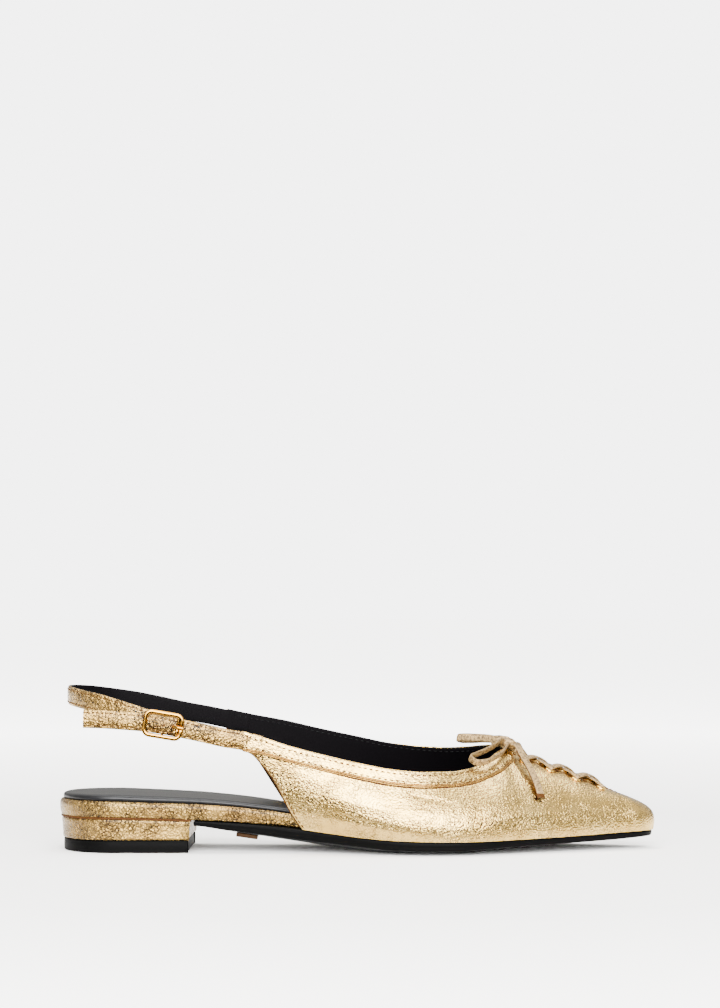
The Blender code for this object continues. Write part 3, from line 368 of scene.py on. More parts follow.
def make_piece(name, verts, faces, material, slot, replaces=(), sharp=40, merge=False, uv=None):
    """Mesh object that rides on the shoe, its faces turned outwards by the sign of its volume."""
    mesh = bpy.data.meshes.new(name)
    mesh.from_pydata((verts + SHIFT).tolist(), [], [list(face) for face in faces])
    if uv is not None:
        corner = np.zeros(len(mesh.loops), dtype=np.int32)
        mesh.loops.foreach_get("vertex_index", corner)
        layer = mesh.uv_layers.new(name="lay")
        layer.data.foreach_set("uv", uv[corner].astype(np.float32).ravel())
    bm = bmesh.new()
    bm.from_mesh(mesh)
    if merge:
        bmesh.ops.remove_doubles(bm, verts=bm.verts, dist=2e-6)
        bmesh.ops.dissolve_degenerate(bm, edges=bm.edges, dist=1e-7)
    if bm.calc_volume(signed=True) < 0:
        bmesh.ops.reverse_faces(bm, faces=bm.faces)
    bm.to_mesh(mesh)
    bm.free()
    mesh.materials.append(material)
    mesh.shade_smooth()
    mesh.set_sharp_from_angle(angle=math.radians(sharp))
    obj = bpy.data.objects.new(name, mesh)
    bpy.context.collection.objects.link(obj)
    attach(obj, "root")
    if replaces:
        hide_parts(*replaces)
    print(name, len(mesh.vertices), "points")
    return obj


# %% [markdown]
# Most pieces here are a section carried along a path: straps, wires, cords and the lace. The
# section is a superellipse, which lies between an ellipse and a box, as a flat band with soft
# edges does. The path brings its own directions across and out, so nothing twists by chance.

# %% Sections carried along a path


def loft(sections, cyclic=False):
    """Sections of one closed outline, stored (count, size, 3): quads round them, and end caps."""
    count, size = sections.shape[:2]
    faces = quads(count + cyclic, size, closed=True) % (count * size)
    caps = [] if cyclic else [range(size), range((count - 1) * size, count * size)]
    return sections.reshape(-1, 3), faces.tolist() + [list(cap) for cap in caps]


def flat_section(width, thickness, size=24, power=3.2):
    """Superellipse: |x / half width| ** power + |y / half thickness| ** power = 1."""
    angle = np.linspace(0, 2 * math.pi, size, endpoint=False) + math.pi / size
    x, y = (np.sign(wave) * np.abs(wave) ** (2 / power) for wave in (np.cos(angle), np.sin(angle)))
    return x * width / 2, y * thickness / 2


def carry(path, across, normal, section_across, section_normal):
    """Section points carried along a path: path + across * a + normal * n at each station."""
    a, n = np.broadcast_arrays(section_across, section_normal)
    a, n = (np.broadcast_to(part, (len(path), part.shape[-1])) for part in (a, n))
    return path[:, None] + across[:, None] * a[..., None] + normal[:, None] * n[..., None]


def path_tangent(path):
    """Direction of a path: the difference between neighbours, made one long."""
    return unit(np.gradient(path, axis=0))


def lay_uv(path, size, around):
    """Lay of a cord: metres along the path, and metres round the section."""
    along = np.concatenate([[0], np.linalg.norm(np.diff(path, axis=0), axis=1).cumsum()])
    grid = np.meshgrid(along, np.linspace(0, around, size, endpoint=False), indexing="ij")
    return np.stack(grid, axis=-1).reshape(-1, 2)


print("a lace section has", len(flat_section(LACE_WIDTH, LACE_THICKNESS)[0]), "points")

# %% [markdown]
# ## Materials
#
# Each finish is a small graph of nodes that ends in the Principled shader. Two helpers are
# enough: one turns a hex colour into the linear values that Blender works in, and one adds a
# node. Everything else is named in the place where it is used, so each graph reads from top to
# bottom. Patterns are sized in metres, on the object's own coordinates.

# %% A node and a colour


def linear(code):
    """sRGB hex to linear: divide small values by 12.92, else raise (v + 0.055) / 1.055 to 2.4."""
    values = [int(code[i:i + 2], 16) / 255 for i in (0, 2, 4)]
    return [v / 12.92 if v <= 0.04045 else ((v + 0.055) / 1.055) ** 2.4 for v in values] + [1.0]


def add_node(tree, kind, inputs=None, out=0, stops=(), **settings):
    """Adds a node with its settings, and returns the output named out.

    Each input is joined to the socket given for it, or else holds the value given. stops are the
    (place, hex colour) pairs of a colour ramp.
    """
    node = tree.nodes.new(kind)
    for key, value in settings.items():
        setattr(node, key, value)
    for key, value in (inputs or {}).items():
        if isinstance(value, bpy.types.NodeSocket):
            tree.links.new(value, node.inputs[key])
        else:
            node.inputs[key].default_value = value
    if stops:
        elements = node.color_ramp.elements
        while len(elements) < len(stops):
            elements.new(0.5)
        for element, (place, colour) in zip(elements, stops):
            element.position, element.color = place, linear(colour)
    return node.outputs[out]


def new_material(name, colour, roughness, metallic):
    """A Principled material with its constant values on the shader's own sockets."""
    material = bpy.data.materials.new(name)
    material.use_nodes = True
    shader = material.node_tree.nodes["Principled BSDF"]
    shader.inputs["Base Color"].default_value = linear(colour)
    shader.inputs["Roughness"].default_value = roughness
    shader.inputs["Metallic"].default_value = metallic
    material.diffuse_color = linear(colour)
    return material, material.node_tree, shader


# A Mix node of colours keeps them in its inputs 6 and 7, and its result in output 2
FIRST_COLOUR, SECOND_COLOUR, MIXED_COLOUR = 6, 7, 2
print("mid grey is", round(linear("808080")[0], 3), "in linear light")

# %% [markdown]
# Foiled leather is real leather with a film of metal colour pressed on it. The film cracks in a
# net finer than a millimetre, so the eye sees sparkle on the lit side and dark speckle where the
# reflection turns from light to dark. That comes from a metallic shader with a bump pattern made
# of small cells, and from darker cracks between some cells. A painted picture would give one view
# only.

# %% Foil leather
CRACK_COLOUR = "33261A"


def foil_leather(name, colour, shade, cell, crack_depth, speckle, roughness):
    """Foil-coated leather: pebbles of one size, with dark cracks and dots in patches.

    Height is 0.8 grit, less the distance to a cell's middle, less crack_depth times crack. The
    dark share is the larger of 0.75 crack and speckle times dots. Waves 6 mm long lie under it.
    """
    material, tree, shader = new_material(name, colour, roughness, 1.0)
    shader.inputs["Coat Weight"].default_value = 0.15
    shader.inputs["Coat Roughness"].default_value = 0.3
    place = add_node(tree, "ShaderNodeTexCoord", out="Object")
    pebble = add_node(tree, "ShaderNodeTexVoronoi", {"Vector": place, "Scale": 1 / cell},
                      feature="F1", out="Distance")
    net = add_node(tree, "ShaderNodeTexVoronoi", {"Vector": place, "Scale": 1 / (1.6 * cell)},
                   feature="DISTANCE_TO_EDGE", out="Distance")
    grit = add_node(tree, "ShaderNodeTexNoise", {
        "Vector": place, "Scale": 1 / (0.55 * cell), "Detail": 2.0, "Roughness": 0.7})
    patch = add_node(tree, "ShaderNodeTexNoise", {
        "Vector": place, "Scale": 1 / (9 * MM), "Detail": 4.0, "Roughness": 0.6})

    # Cracks follow the edges of the net, dots follow the grit, and both need a patch to show in
    edge = add_node(tree, "ShaderNodeMapRange", {
        "Value": net, "From Min": 0.0, "From Max": 0.11, "To Min": 1.0, "To Max": 0.0})
    cracked = add_node(tree, "ShaderNodeMapRange", {
        "Value": patch, "From Min": 0.42, "From Max": 0.66})
    crack = add_node(tree, "ShaderNodeMath", {0: edge, 1: cracked}, operation="MULTIPLY")
    grains = add_node(tree, "ShaderNodeMapRange", {
        "Value": grit, "From Min": 0.51, "From Max": 0.6})
    dotted = add_node(tree, "ShaderNodeMapRange", {
        "Value": patch, "From Min": 0.34, "From Max": 0.56})
    dots = add_node(tree, "ShaderNodeMath", {0: grains, 1: dotted}, operation="MULTIPLY")
    dark_crack = add_node(tree, "ShaderNodeMath", {0: crack, 1: 0.75}, operation="MULTIPLY")
    dark_dots = add_node(tree, "ShaderNodeMath", {0: dots, 1: speckle}, operation="MULTIPLY")
    dark = add_node(tree, "ShaderNodeMath", {0: dark_crack, 1: dark_dots}, operation="MAXIMUM")

    # The film's tone drifts slowly between two golds
    drift = add_node(tree, "ShaderNodeTexNoise", {
        "Vector": place, "Scale": 1 / (16 * MM), "Detail": 3.0, "Roughness": 0.55})
    tone = add_node(tree, "ShaderNodeValToRGB", {"Fac": drift},
                    stops=[(0.35, shade), (0.62, colour)])
    mixed = add_node(tree, "ShaderNodeMix", {
        "Factor": dark, FIRST_COLOUR: tone, SECOND_COLOUR: linear(CRACK_COLOUR)},
        out=MIXED_COLOUR, data_type="RGBA")
    rubbed = add_node(tree, "ShaderNodeMapRange", {
        "Value": grit, "From Min": 0.3, "From Max": 0.7,
        "To Min": roughness - 0.05, "To Max": roughness + 0.12})

    dome = add_node(tree, "ShaderNodeMath", {0: pebble, 1: -1.0}, operation="MULTIPLY")
    tooth = add_node(tree, "ShaderNodeMath", {0: grit, 1: 0.8}, operation="MULTIPLY")
    groove = add_node(tree, "ShaderNodeMath", {0: crack, 1: crack_depth}, operation="MULTIPLY")
    height = add_node(tree, "ShaderNodeMath", {0: dome, 1: tooth}, operation="ADD")
    height = add_node(tree, "ShaderNodeMath", {0: height, 1: groove}, operation="SUBTRACT")
    grain = add_node(tree, "ShaderNodeBump", {
        "Height": height, "Strength": 1.0, "Distance": 0.14 * cell * (0.5 + crack_depth)})
    slow = add_node(tree, "ShaderNodeTexNoise", {
        "Vector": place, "Scale": 1 / (6 * MM), "Detail": 3.0, "Roughness": 0.55})
    wave = add_node(tree, "ShaderNodeBump", {
        "Height": slow, "Normal": grain, "Strength": 1.0, "Distance": 0.12 * MM})
    tree.links.new(mixed, shader.inputs["Base Color"])
    tree.links.new(rubbed, shader.inputs["Roughness"])
    tree.links.new(wave, shader.inputs["Normal"])
    return material


# Foil-coated leather: champagne gold film on fine grain, which gives a soft, broken mirror. The
# real cells are about 0.5 mm. They are drawn 1 mm across, because a pixel of the render covers
# 0.45 mm and finer ones would blur to an even tone
UPPER_FOIL = foil_leather("foil_leather_fine", "DAB76A", "C6A256", 1.0 * MM, 0.6, 0.75, 0.12)
# The same film on the straps, folded hard, so that its cells open and more dark shows between
# them. Its base gold is set darker than the upper's, a painted shade for the straps' darker look
SHADED_STRAP_FOIL = foil_leather("foil_leather_coarse_shaded", "AA8848", "826430", 1.3 * MM, 1.6, 1.0, 0.2)
# Wrapped over board and heel the film is set less glossy and deeper in tone
HEEL_FOIL = foil_leather("foil_leather_wrapped", "93763C", "7C5F30", 1.15 * MM, 1.5, 1.0, 0.25)
# Drawn round a fine cord for the bead, which hides most cracks; its gold is set duller and redder
BEAD_FOIL = foil_leather("foil_leather_bead", "A87E38", "7C581F", 0.9 * MM, 0.5, 0.6, 0.25)
print("foil cells of 0.9 to 1.3 mm on", len(bpy.data.materials), "materials")

# %% [markdown]
# The other finishes are quieter. Lining leather is black and matte, the sock is padded satin, the
# lift is moulded rubber and the sole is waxed leather. With the threads, the dyed edges and the
# dark lines of painted shade in grooves they are all one skin, each with a grain of its own size.

# %% The quieter materials


def grained(name, colour, roughness, grain, depth, gloss):
    """Plain skin, thread or rubber: one noise lifts the surface and varies its gloss."""
    material, tree, shader = new_material(name, colour, roughness, 0.0)
    shader.inputs["Specular IOR Level"].default_value = gloss
    place = add_node(tree, "ShaderNodeTexCoord", out="Object")
    fine = add_node(tree, "ShaderNodeTexNoise", {
        "Vector": place, "Scale": 1 / grain, "Detail": 4.0, "Roughness": 0.6})
    rubbed = add_node(tree, "ShaderNodeMapRange", {
        "Value": fine, "From Min": 0.3, "From Max": 0.7,
        "To Min": roughness - 0.08, "To Max": roughness + 0.08})
    bump = add_node(tree, "ShaderNodeBump", {"Height": fine, "Strength": 1.0, "Distance": depth})
    tree.links.new(rubbed, shader.inputs["Roughness"])
    tree.links.new(bump, shader.inputs["Normal"])
    return material


# Matte lining leather swallows nearly all light, and the satin of the sock keeps a soft grey shine
LINING = grained("lining_leather", "050405", 0.55, 0.5 * MM, 0.05 * MM, 0.02)
SATIN = grained("padded_satin", "08080A", 0.4, 0.35 * MM, 0.03 * MM, 0.22)
# Moulded rubber and waxed leather: both black, the wax a little smoother
RUBBER = grained("moulded_rubber", "030303", 0.5, 0.25 * MM, 0.02 * MM, 0.03)
SOLE = grained("waxed_sole_leather", "030303", 0.42, 0.6 * MM, 0.02 * MM, 0.03)
# Waxed thread in the gold leather, black thread in the lining, and one dark brown for dyed cut
# edges and for lines of painted shade in grooves
# The gold leather's thread is drawn dark brown, partly as painted shade of its needle holes
THREAD_AND_HOLE_SHADE = grained("waxed_thread_and_hole_shade", "432C12", 0.55, 0.2 * MM, 0.02 * MM, 0.06)
BLACK_THREAD = grained("black_thread", "0A0A0B", 0.5, 0.2 * MM, 0.02 * MM, 0.05)
DYE_AND_PAINTED_SHADE = grained("dyed_edge_and_painted_shade", "38200A", 0.6, 0.4 * MM, 0.03 * MM, 0.05)
print("quiet materials", len(bpy.data.materials))

# %% [markdown]
# The lace is a flat woven cord with matte metallic threads, so it gets a weave on its own lay,
# which is held in a UV map in metres. On object coordinates the weave would run straight through
# every fold. The metal parts are plated and polished, so they take one even colour and a wave too
# faint to see except in reflections.

# %% Lace and metal


def woven_lace(name, colour, shade):
    """Flat lace: the sine of a slanted length gives threads, folded to a chevron every 1.2 mm.

    The real threads lie about 0.45 mm apart. They are drawn 0.95 mm apart, so that they show.
    """
    chevron, thread_pitch = 1.2 * MM, 0.95 * MM
    material, tree, shader = new_material(name, colour, 0.5, 0.4)
    lay = add_node(tree, "ShaderNodeUVMap", uv_map="lay")
    along = add_node(tree, "ShaderNodeSeparateXYZ", {"Vector": lay}, out="X")
    around = along.node.outputs["Y"]
    turns = add_node(tree, "ShaderNodeMath", {0: around, 1: chevron}, operation="DIVIDE")
    part = add_node(tree, "ShaderNodeMath", {0: turns}, operation="FRACT")
    centred = add_node(tree, "ShaderNodeMath", {0: part, 1: 0.5}, operation="SUBTRACT")
    fold = add_node(tree, "ShaderNodeMath", {0: centred}, operation="ABSOLUTE")
    lean = add_node(tree, "ShaderNodeMath", {0: fold, 1: chevron}, operation="MULTIPLY")
    slant = add_node(tree, "ShaderNodeMath", {0: along, 1: lean}, operation="ADD")
    phase = add_node(tree, "ShaderNodeMath", {0: slant, 1: 2 * math.pi / thread_pitch},
                     operation="MULTIPLY")
    thread = add_node(tree, "ShaderNodeMath", {0: phase}, operation="SINE")
    lit = add_node(tree, "ShaderNodeMapRange", {
        "Value": thread, "From Min": -1.0, "From Max": 1.0, "To Min": 0.35, "To Max": 1.0})
    wear = add_node(tree, "ShaderNodeTexNoise", {
        "Vector": lay, "Scale": 1 / (1.0 * MM), "Detail": 2.0, "Roughness": 0.7})
    fray = add_node(tree, "ShaderNodeMapRange", {
        "Value": wear, "From Min": 0.38, "From Max": 0.6})
    raised = add_node(tree, "ShaderNodeMath", {0: lit, 1: fray}, operation="MULTIPLY")
    # Colour follows the crests too: valleys between the threads are painted darker, a painted
    # shade, and worn patches are darker as well
    tone = add_node(tree, "ShaderNodeValToRGB", {"Fac": raised},
                    stops=[(0.05, shade), (0.55, colour)])
    bump = add_node(tree, "ShaderNodeBump", {
        "Height": raised, "Strength": 1.0, "Distance": 0.16 * MM})
    tree.links.new(tone, shader.inputs["Base Color"])
    tree.links.new(bump, shader.inputs["Normal"])
    return material


def polished(name, colour, roughness):
    """Plated metal: even colour, with waves 2 mm long left by the polishing wheel."""
    material, tree, shader = new_material(name, colour, roughness, 1.0)
    place = add_node(tree, "ShaderNodeTexCoord", out="Object")
    wheel = add_node(tree, "ShaderNodeTexNoise", {
        "Vector": place, "Scale": 1 / (2 * MM), "Detail": 3.0, "Roughness": 0.55})
    bump = add_node(tree, "ShaderNodeBump", {
        "Height": wheel, "Strength": 1.0, "Distance": 0.03 * MM})
    tree.links.new(bump, shader.inputs["Normal"])
    return material


# Cotton woven with metallic threads: half cloth, half metal, so only partly metallic
LACE = woven_lace("woven_metallic_lace", "9C7F50", "44331C")
# Gold plate: polished on the buckle, tumbled on the eyelets, and a dark brown metal on the plate
# under the waist
BUCKLE_GOLD = polished("polished_plate_gold", "AE7E30", 0.1)
EYELET_GOLD = polished("tumbled_plate_gold", "E8BC58", 0.18)
DARK_PLATE_METAL = polished("dark_plate_metal", "35261A", 0.3)
print("materials", len(bpy.data.materials))

# %% [markdown]
# ## Camera
#
# The photograph looks square on from the outer side with a long lens, a little above the strap.
# The camera is therefore about a metre away and pitched up slightly, which puts the shoe low in
# the frame and still keeps the sole's underside in view. Its lens follows from the focal length
# counted in pixels of a frame 1008 pixels high.

# %% Camera
FRAME_PIXELS = 1008
FOCAL_PIXELS = 2450
HORIZON_BELOW_MIDDLE = 111
SENSOR_HEIGHT = 36
CAMERA_PLACE = np.array([133.8, -1100, 104]) * MM

camera_data = bpy.data.cameras.new("camera")
camera_data.sensor_fit, camera_data.sensor_height = "VERTICAL", SENSOR_HEIGHT
camera_data.lens = SENSOR_HEIGHT * FOCAL_PIXELS / FRAME_PIXELS
camera_data.clip_end = 200
camera = bpy.data.objects.new("camera", camera_data)
camera.location = CAMERA_PLACE + SHIFT
camera.rotation_euler = (math.pi / 2 + math.atan(HORIZON_BELOW_MIDDLE / FOCAL_PIXELS), 0, 0)
bpy.context.collection.objects.link(camera)
bpy.context.scene.camera = camera
print("camera at", np.round(np.array(camera.location), 4).tolist())

# %% [markdown]
# ## Light
#
# Polished foil shows the room more than its own colour, so the room decides how the shoe looks. A
# large softbox in front gives the broad highlight along the quarter, and a smaller one overhead
# gives the rim of the topline. The surrounding room is dark near the floor and pale higher up.
# Rays from the camera skip the room and meet one even white, which is the plain backdrop.

# %% Softboxes and room


def area_light(name, place, target, size, power):
    """Soft rectangular light at a place, turned so that its face looks at the target."""
    data = bpy.data.lights.new(name, "AREA")
    data.shape, data.size, data.size_y, data.energy = "RECTANGLE", size[0], size[1], power
    light = bpy.data.objects.new(name, data)
    light.location = place
    light.rotation_euler = (Vector(target) - Vector(place)).to_track_quat("-Z", "Y").to_euler()
    bpy.context.collection.objects.link(light)


area_light("front_softbox", (0.05, -1.6, 0.86), (0.05, 0.0, 0.86), (1.7, 1.5), 235)
area_light("top_softbox", (0.0, 0.15, 1.35), (0.0, 0.0, 0.0), (1.2, 0.8), 38)

ROOM_STRENGTH = 2.2
BACKDROP = (2.5, 2.5, 2.5, 1.0)
world = bpy.data.worlds.new("studio")
bpy.context.scene.world = world
world.use_nodes = True
air = world.node_tree
direction = add_node(air, "ShaderNodeTexCoord", out="Generated")
up = add_node(air, "ShaderNodeSeparateXYZ", {"Vector": direction}, out="Z")
climb = add_node(air, "ShaderNodeMapRange", {"Value": up, "From Min": -0.02, "From Max": 0.5})
room = add_node(air, "ShaderNodeValToRGB", {"Fac": climb}, stops=[
    (0.00, "0A0908"), (0.20, "0A0908"), (0.40, "B0ADA8"), (1.00, "D8D6D2")])
seen = add_node(air, "ShaderNodeLightPath", out="Is Camera Ray")
shown = add_node(air, "ShaderNodeMix", {
    "Factor": seen, FIRST_COLOUR: room, SECOND_COLOUR: BACKDROP},
    out=MIXED_COLOUR, data_type="RGBA")
background = air.nodes["Background"]
air.links.new(shown, background.inputs["Color"])
background.inputs["Strength"].default_value = ROOM_STRENGTH
print("lights", len(bpy.data.lights), "and one room")

# %% [markdown]
# ## Floor and mirror card
#
# The shoe stands on a matte white card that is lit from below away from the middle, as on a light
# table, so its shadow stays soft and the horizon melts into the backdrop. A second card lies just
# over the first, and only reflections see it. It is pale next to the shoe, black from 0.1 to 0.45
# m in front of it and pale again further out. The foil mirrors that black stretch as the dark
# band low on the quarter. A painted band would stay in place when the shoe is turned, and this
# one moves as a reflection does.

# %% Floor and mirror card
CARD_HEIGHT = 0.6 * MM


def sheet(name, corners, material):
    """Flat four-cornered sheet of the studio."""
    mesh = bpy.data.meshes.new(name)
    mesh.from_pydata(corners, [], [(0, 1, 2, 3)])
    mesh.materials.append(material)
    made = bpy.data.objects.new(name, mesh)
    bpy.context.collection.objects.link(made)
    return made


def card_material(name, colour, roughness, light):
    """Card without gloss that gives off light of one colour."""
    material, tree, shader = new_material(name, colour, roughness, 0.0)
    shader.inputs["Specular IOR Level"].default_value = 0.0
    shader.inputs["Emission Color"].default_value = light
    return material, tree, shader.inputs["Emission Strength"]


# Matte white card: unlit within 0.25 m of the middle, full light from 1.1 m on
card, card_tree, card_light = card_material(
    "light_table_card", "F2F1EF", 0.9, (1.0, 1.0, 1.0, 1.0))
place = add_node(card_tree, "ShaderNodeTexCoord", out="Object")
flat = add_node(card_tree, "ShaderNodeVectorMath", {0: place, 1: (1.0, 1.0, 0.0)},
                operation="MULTIPLY")
away = add_node(card_tree, "ShaderNodeVectorMath", {0: flat}, operation="LENGTH", out="Value")
lit = add_node(card_tree, "ShaderNodeMapRange", {
    "Value": away, "From Min": 0.25, "From Max": 1.1, "To Min": 0.0, "To Max": 4.2})
card_tree.links.new(lit, card_light)
sheet("floor", [(-40, -20, 0), (40, -20, 0), (40, 60, 0), (-40, 60, 0)], card)

# Gradient card: one ramp for the pale edge next to the shoe, and one for the pale far end
mirror_card, mirror_tree, mirror_light = card_material(
    "gradient_card", "000000", 1.0, (1.0, 0.98, 0.95, 1.0))
place = add_node(mirror_tree, "ShaderNodeTexCoord", out="Object")
front = add_node(mirror_tree, "ShaderNodeSeparateXYZ", {"Vector": place}, out="Y")
pale_edge = add_node(mirror_tree, "ShaderNodeMapRange", {
    "Value": front, "From Min": -0.098, "From Max": -0.07, "To Min": 0.01, "To Max": 1.1})
pale_end = add_node(mirror_tree, "ShaderNodeMapRange", {
    "Value": front, "From Min": -0.8, "From Max": -0.45, "To Min": 1.0, "To Max": 0.0})
glow = add_node(mirror_tree, "ShaderNodeMath", {0: pale_edge, 1: pale_end}, operation="ADD")
mirror_tree.links.new(glow, mirror_light)
gradient = sheet("gradient_card", [(-3, -3, CARD_HEIGHT), (3, -3, CARD_HEIGHT),
                                   (3, -0.05, CARD_HEIGHT), (-3, -0.05, CARD_HEIGHT)], mirror_card)
gradient.visible_camera = gradient.visible_diffuse = gradient.visible_shadow = False
print("floor and mirror card ready")

# %% [markdown]
# ## Sole, footbed and heel as rings of one outline
#
# The bottom of a shoe is a stack: rubber lift, heel block, sole, wrapped board and padded sock.
# All of them follow the feather line, each set in by a little. One function stacks rings of that
# outline along a rim profile, then draws them in to a line under the middle, which closes the
# solid.

# %% Rings of the outline


def ring(q, across_start=0, across_end=0):
    """Closed outline: outer side, round the toe, back along the inner side."""
    outer, inner = outline_side(q, -1), outline_side(q, 1)
    end = outer[-1] + np.linspace(0, 1, across_end + 2)[1:-1, None] * (inner[-1] - outer[-1])
    start = inner[0] + np.linspace(0, 1, across_start + 2)[1:-1, None] * (outer[0] - inner[0])
    return np.concatenate([outer, end, inner[::-1], start])


def outward(points):
    """Normals in plan: the tangent between the two neighbours turned a quarter right."""
    tangent = np.roll(points, -1, axis=0) - np.roll(points, 1, axis=0)
    return unit(np.stack([tangent[:, 1], -tangent[:, 0]], axis=1))


def toe_stations(start, count):
    """Even stations from start to the toe, then 25 more round the toe's arc."""
    body = np.linspace(start, LENGTH - TOE_ROUND, count)
    return np.concatenate([body, np.linspace(LENGTH - TOE_ROUND, UNROLLED_TOE, 26)[1:]])


def board_inset(x):
    """The upper's wall and two gaps, rising from nothing behind the quarters."""
    return (UPPER_WALL + 2 * GAP) * rise_over(x / LENGTH, 0.32, 0.395)


def stack(outline, spine, rim, low, high, more_inset=None, count=30):
    """Rings of an outline: set in and lifted along the rim, then drawn to the spine at both ends.

    rim rows are (inset in mm, share of the way from low to high), joined by a smooth curve.
    low and high are functions of x and of the share of the way out from the spine.
    """
    normal = outward(outline)
    drawn = outline - normal * (more_inset(outline[:, 0])[:, None] if more_inset else 0)
    spine_x = np.clip(outline[:, 0], *spine)
    centre = np.stack([spine_x, centre_line(spine_x)], axis=1)
    rim = resample(np.array(rim) * (1, 7), count) / (MM ** -1, 7)
    inner = np.array([0, 0.2, 0.4, 0.58, 0.72, 0.84, 0.93])
    share = np.concatenate([inner, np.ones(count), inner[::-1]])[:, None]
    inset = np.concatenate([rim[0, 0] + 0 * inner, rim[:, 0], rim[-1, 0] + 0 * inner])
    level = np.concatenate([rim[0, 1] + 0 * inner, rim[:, 1], rim[-1, 1] + 0 * inner])[:, None]
    plan = centre + share[..., None] * (drawn - normal * inset[:, None, None] - centre)
    below, above = low(plan[..., 0], share), high(plan[..., 0], share)
    return np.concatenate([plan, (below + level * (above - below))[..., None]], axis=-1)


def stack_piece(name, node, rings, material, slot):
    """Mesh of stacked rings that stands in for one node of the frame."""
    faces = quads(*rings.shape[:2], closed=True)
    return make_piece(name, rings.reshape(-1, 3), faces, material, slot, (node,), 50, merge=True)


print("rings run from", round(UNROLLED_HEEL / MM, 1), "to", round(UNROLLED_TOE / MM, 1), "mm")

# %% [markdown]
# The lift and the heel block share one D of the outline, which ends straight at the heel breast.
# A rim profile in millimetres gives each its softened edge: the wrapped heel bulges a little,
# where the moulded lift has crisp edges.

# %% Lift and heel
heel_stations = np.concatenate([np.linspace(UNROLLED_HEEL, HEEL_ROUND, 60),
                                np.linspace(HEEL_ROUND, HEEL_LENGTH, 24)[1:]])
heel_ring = ring(heel_stations, across_end=30)
HEEL_SPINE = (24 * MM, 34 * MM)

stack_piece("rubber_lift", "top_lift", stack(
    heel_ring, HEEL_SPINE,
    [(2.5, 0), (2.05, 0.05), (1.95, 0.2), (1.9, 0.8), (2.0, 0.95), (2.5, 1)],
    lambda x, share: 0 * x, lambda x, share: 0 * x + LIFT_THICKNESS), RUBBER, "black_rubber")
stack_piece("wrapped_heel", "heel_block", stack(
    heel_ring, HEEL_SPINE,
    [(2.0, 0), (1.5, 0.05), (1.3, 0.25), (1.15, 0.6), (1.0, 0.9), (1.4, 1)],
    lambda x, share: 0 * x + LIFT_THICKNESS + 0.3 * GAP,
    lambda x, share: seat_line(x) - 0.1 * GAP), HEEL_FOIL, "gold_foil_leather")

# %% [markdown]
# The wrapped board and the sock run the whole length, and the sole runs from the heel breast to
# the toe. Its underside lies flat under the ball, arches up before the heel and rises a little
# towards the rim. The board is the gold band behind the quarters, and inside the upper it steps
# in by the wall. The sock is padded, so it swells a little between its rolled edges.

# %% Sole, footbed and sock
full_ring = ring(np.concatenate([np.linspace(UNROLLED_HEEL, HEEL_ROUND, 60)[:-1],
                                 toe_stations(HEEL_ROUND, 170)]))
sole_ring = ring(toe_stations(HEEL_LENGTH + GAP, 170), across_start=30)


def sole_under(x, share):
    """Underside of the sole: flat in the middle, rising to the rim over the outer half."""
    lift = smooth([0, 0.5, 0.72, 0.97, 1], [0, 0, 0.35, 0.9, 1], share)
    return sole_middle(x) + lift * (sole_edge(x) - sole_middle(x))


stack_piece("waxed_sole", "outsole", stack(
    sole_ring, (HEEL_LENGTH + 10 * MM, LENGTH - 14 * MM),
    [(1.1, 0), (0.85, 0.12), (0.7, 0.4), (0.6, 0.75), (0.75, 0.93), (1.2, 1)],
    sole_under, lambda x, share: seat_line(x) - 0.5 * GAP), SOLE, "black_sole")
stack_piece("wrapped_footbed", "footbed", stack(
    full_ring, (22 * MM, LENGTH - 18 * MM),
    [(1.5, 0), (0.75, 0.07), (0.35, 0.25), (0, 0.6), (0.15, 0.88), (0.8, 1), (3, 1.02)],
    lambda x, share: seat_line(x), lambda x, share: board_top(x),
    board_inset), HEEL_FOIL, "gold_foil_leather")


def sock_top(x, share):
    """Padding: half as thick from the ball on, plus 0.5 mm times one less share squared."""
    thick = SOCK_THICKNESS * (1 - 0.5 * np.clip(x / LENGTH - 0.1, 0, 0.5) / 0.5)
    return board_top(x) + GAP + thick + 0.5 * MM * (1 - share ** 2)


sock = stack_piece("satin_sock", "sock", stack(
    full_ring, (22 * MM, LENGTH - 22 * MM),
    [(2.0, 0), (1.5, 0.3), (1.5, 0.55), (2.1, 0.82), (3.3, 0.96), (5, 1)],
    lambda x, share: board_top(x) + 0.2 * GAP, sock_top, board_inset), SATIN, "black_satin")

# %% [markdown]
# ## The gold skin of the upper
#
# The skin is a closed wall 1 mm thick. It starts inside the mouth, rolls over the topline, runs
# down the raised band, drops a step at the bead and goes on to the feather line. Creases are soft
# ridges placed by rib and by share of the way down. A cloth simulation was not used, because the
# leather is lasted, so its form is the last's form and not a drape.

# %% Relief of the skin
NARROWEST_BAND = 2.4 * MM
CREASES = [
    # rib from, rib to, share from, share to, half width (share), height in mm
    (-9.4, -3.2, 0.80, 0.74, 0.040, 0.55), (-16.4, -12.5, 0.70, 0.86, 0.030, -0.18),
    (-15.5, -11.0, 0.55, 0.62, 0.050, 0.22), (9.4, 3.2, 0.80, 0.74, 0.040, 0.50),
    (-12.8, -10.6, 0.32, 0.52, 0.040, -0.25), (12.6, 10.4, 0.30, 0.50, 0.040, -0.25),
    (-6.5, -4.0, 0.25, 0.45, 0.050, -0.15), (6.2, 4.0, 0.25, 0.45, 0.050, -0.15),
]


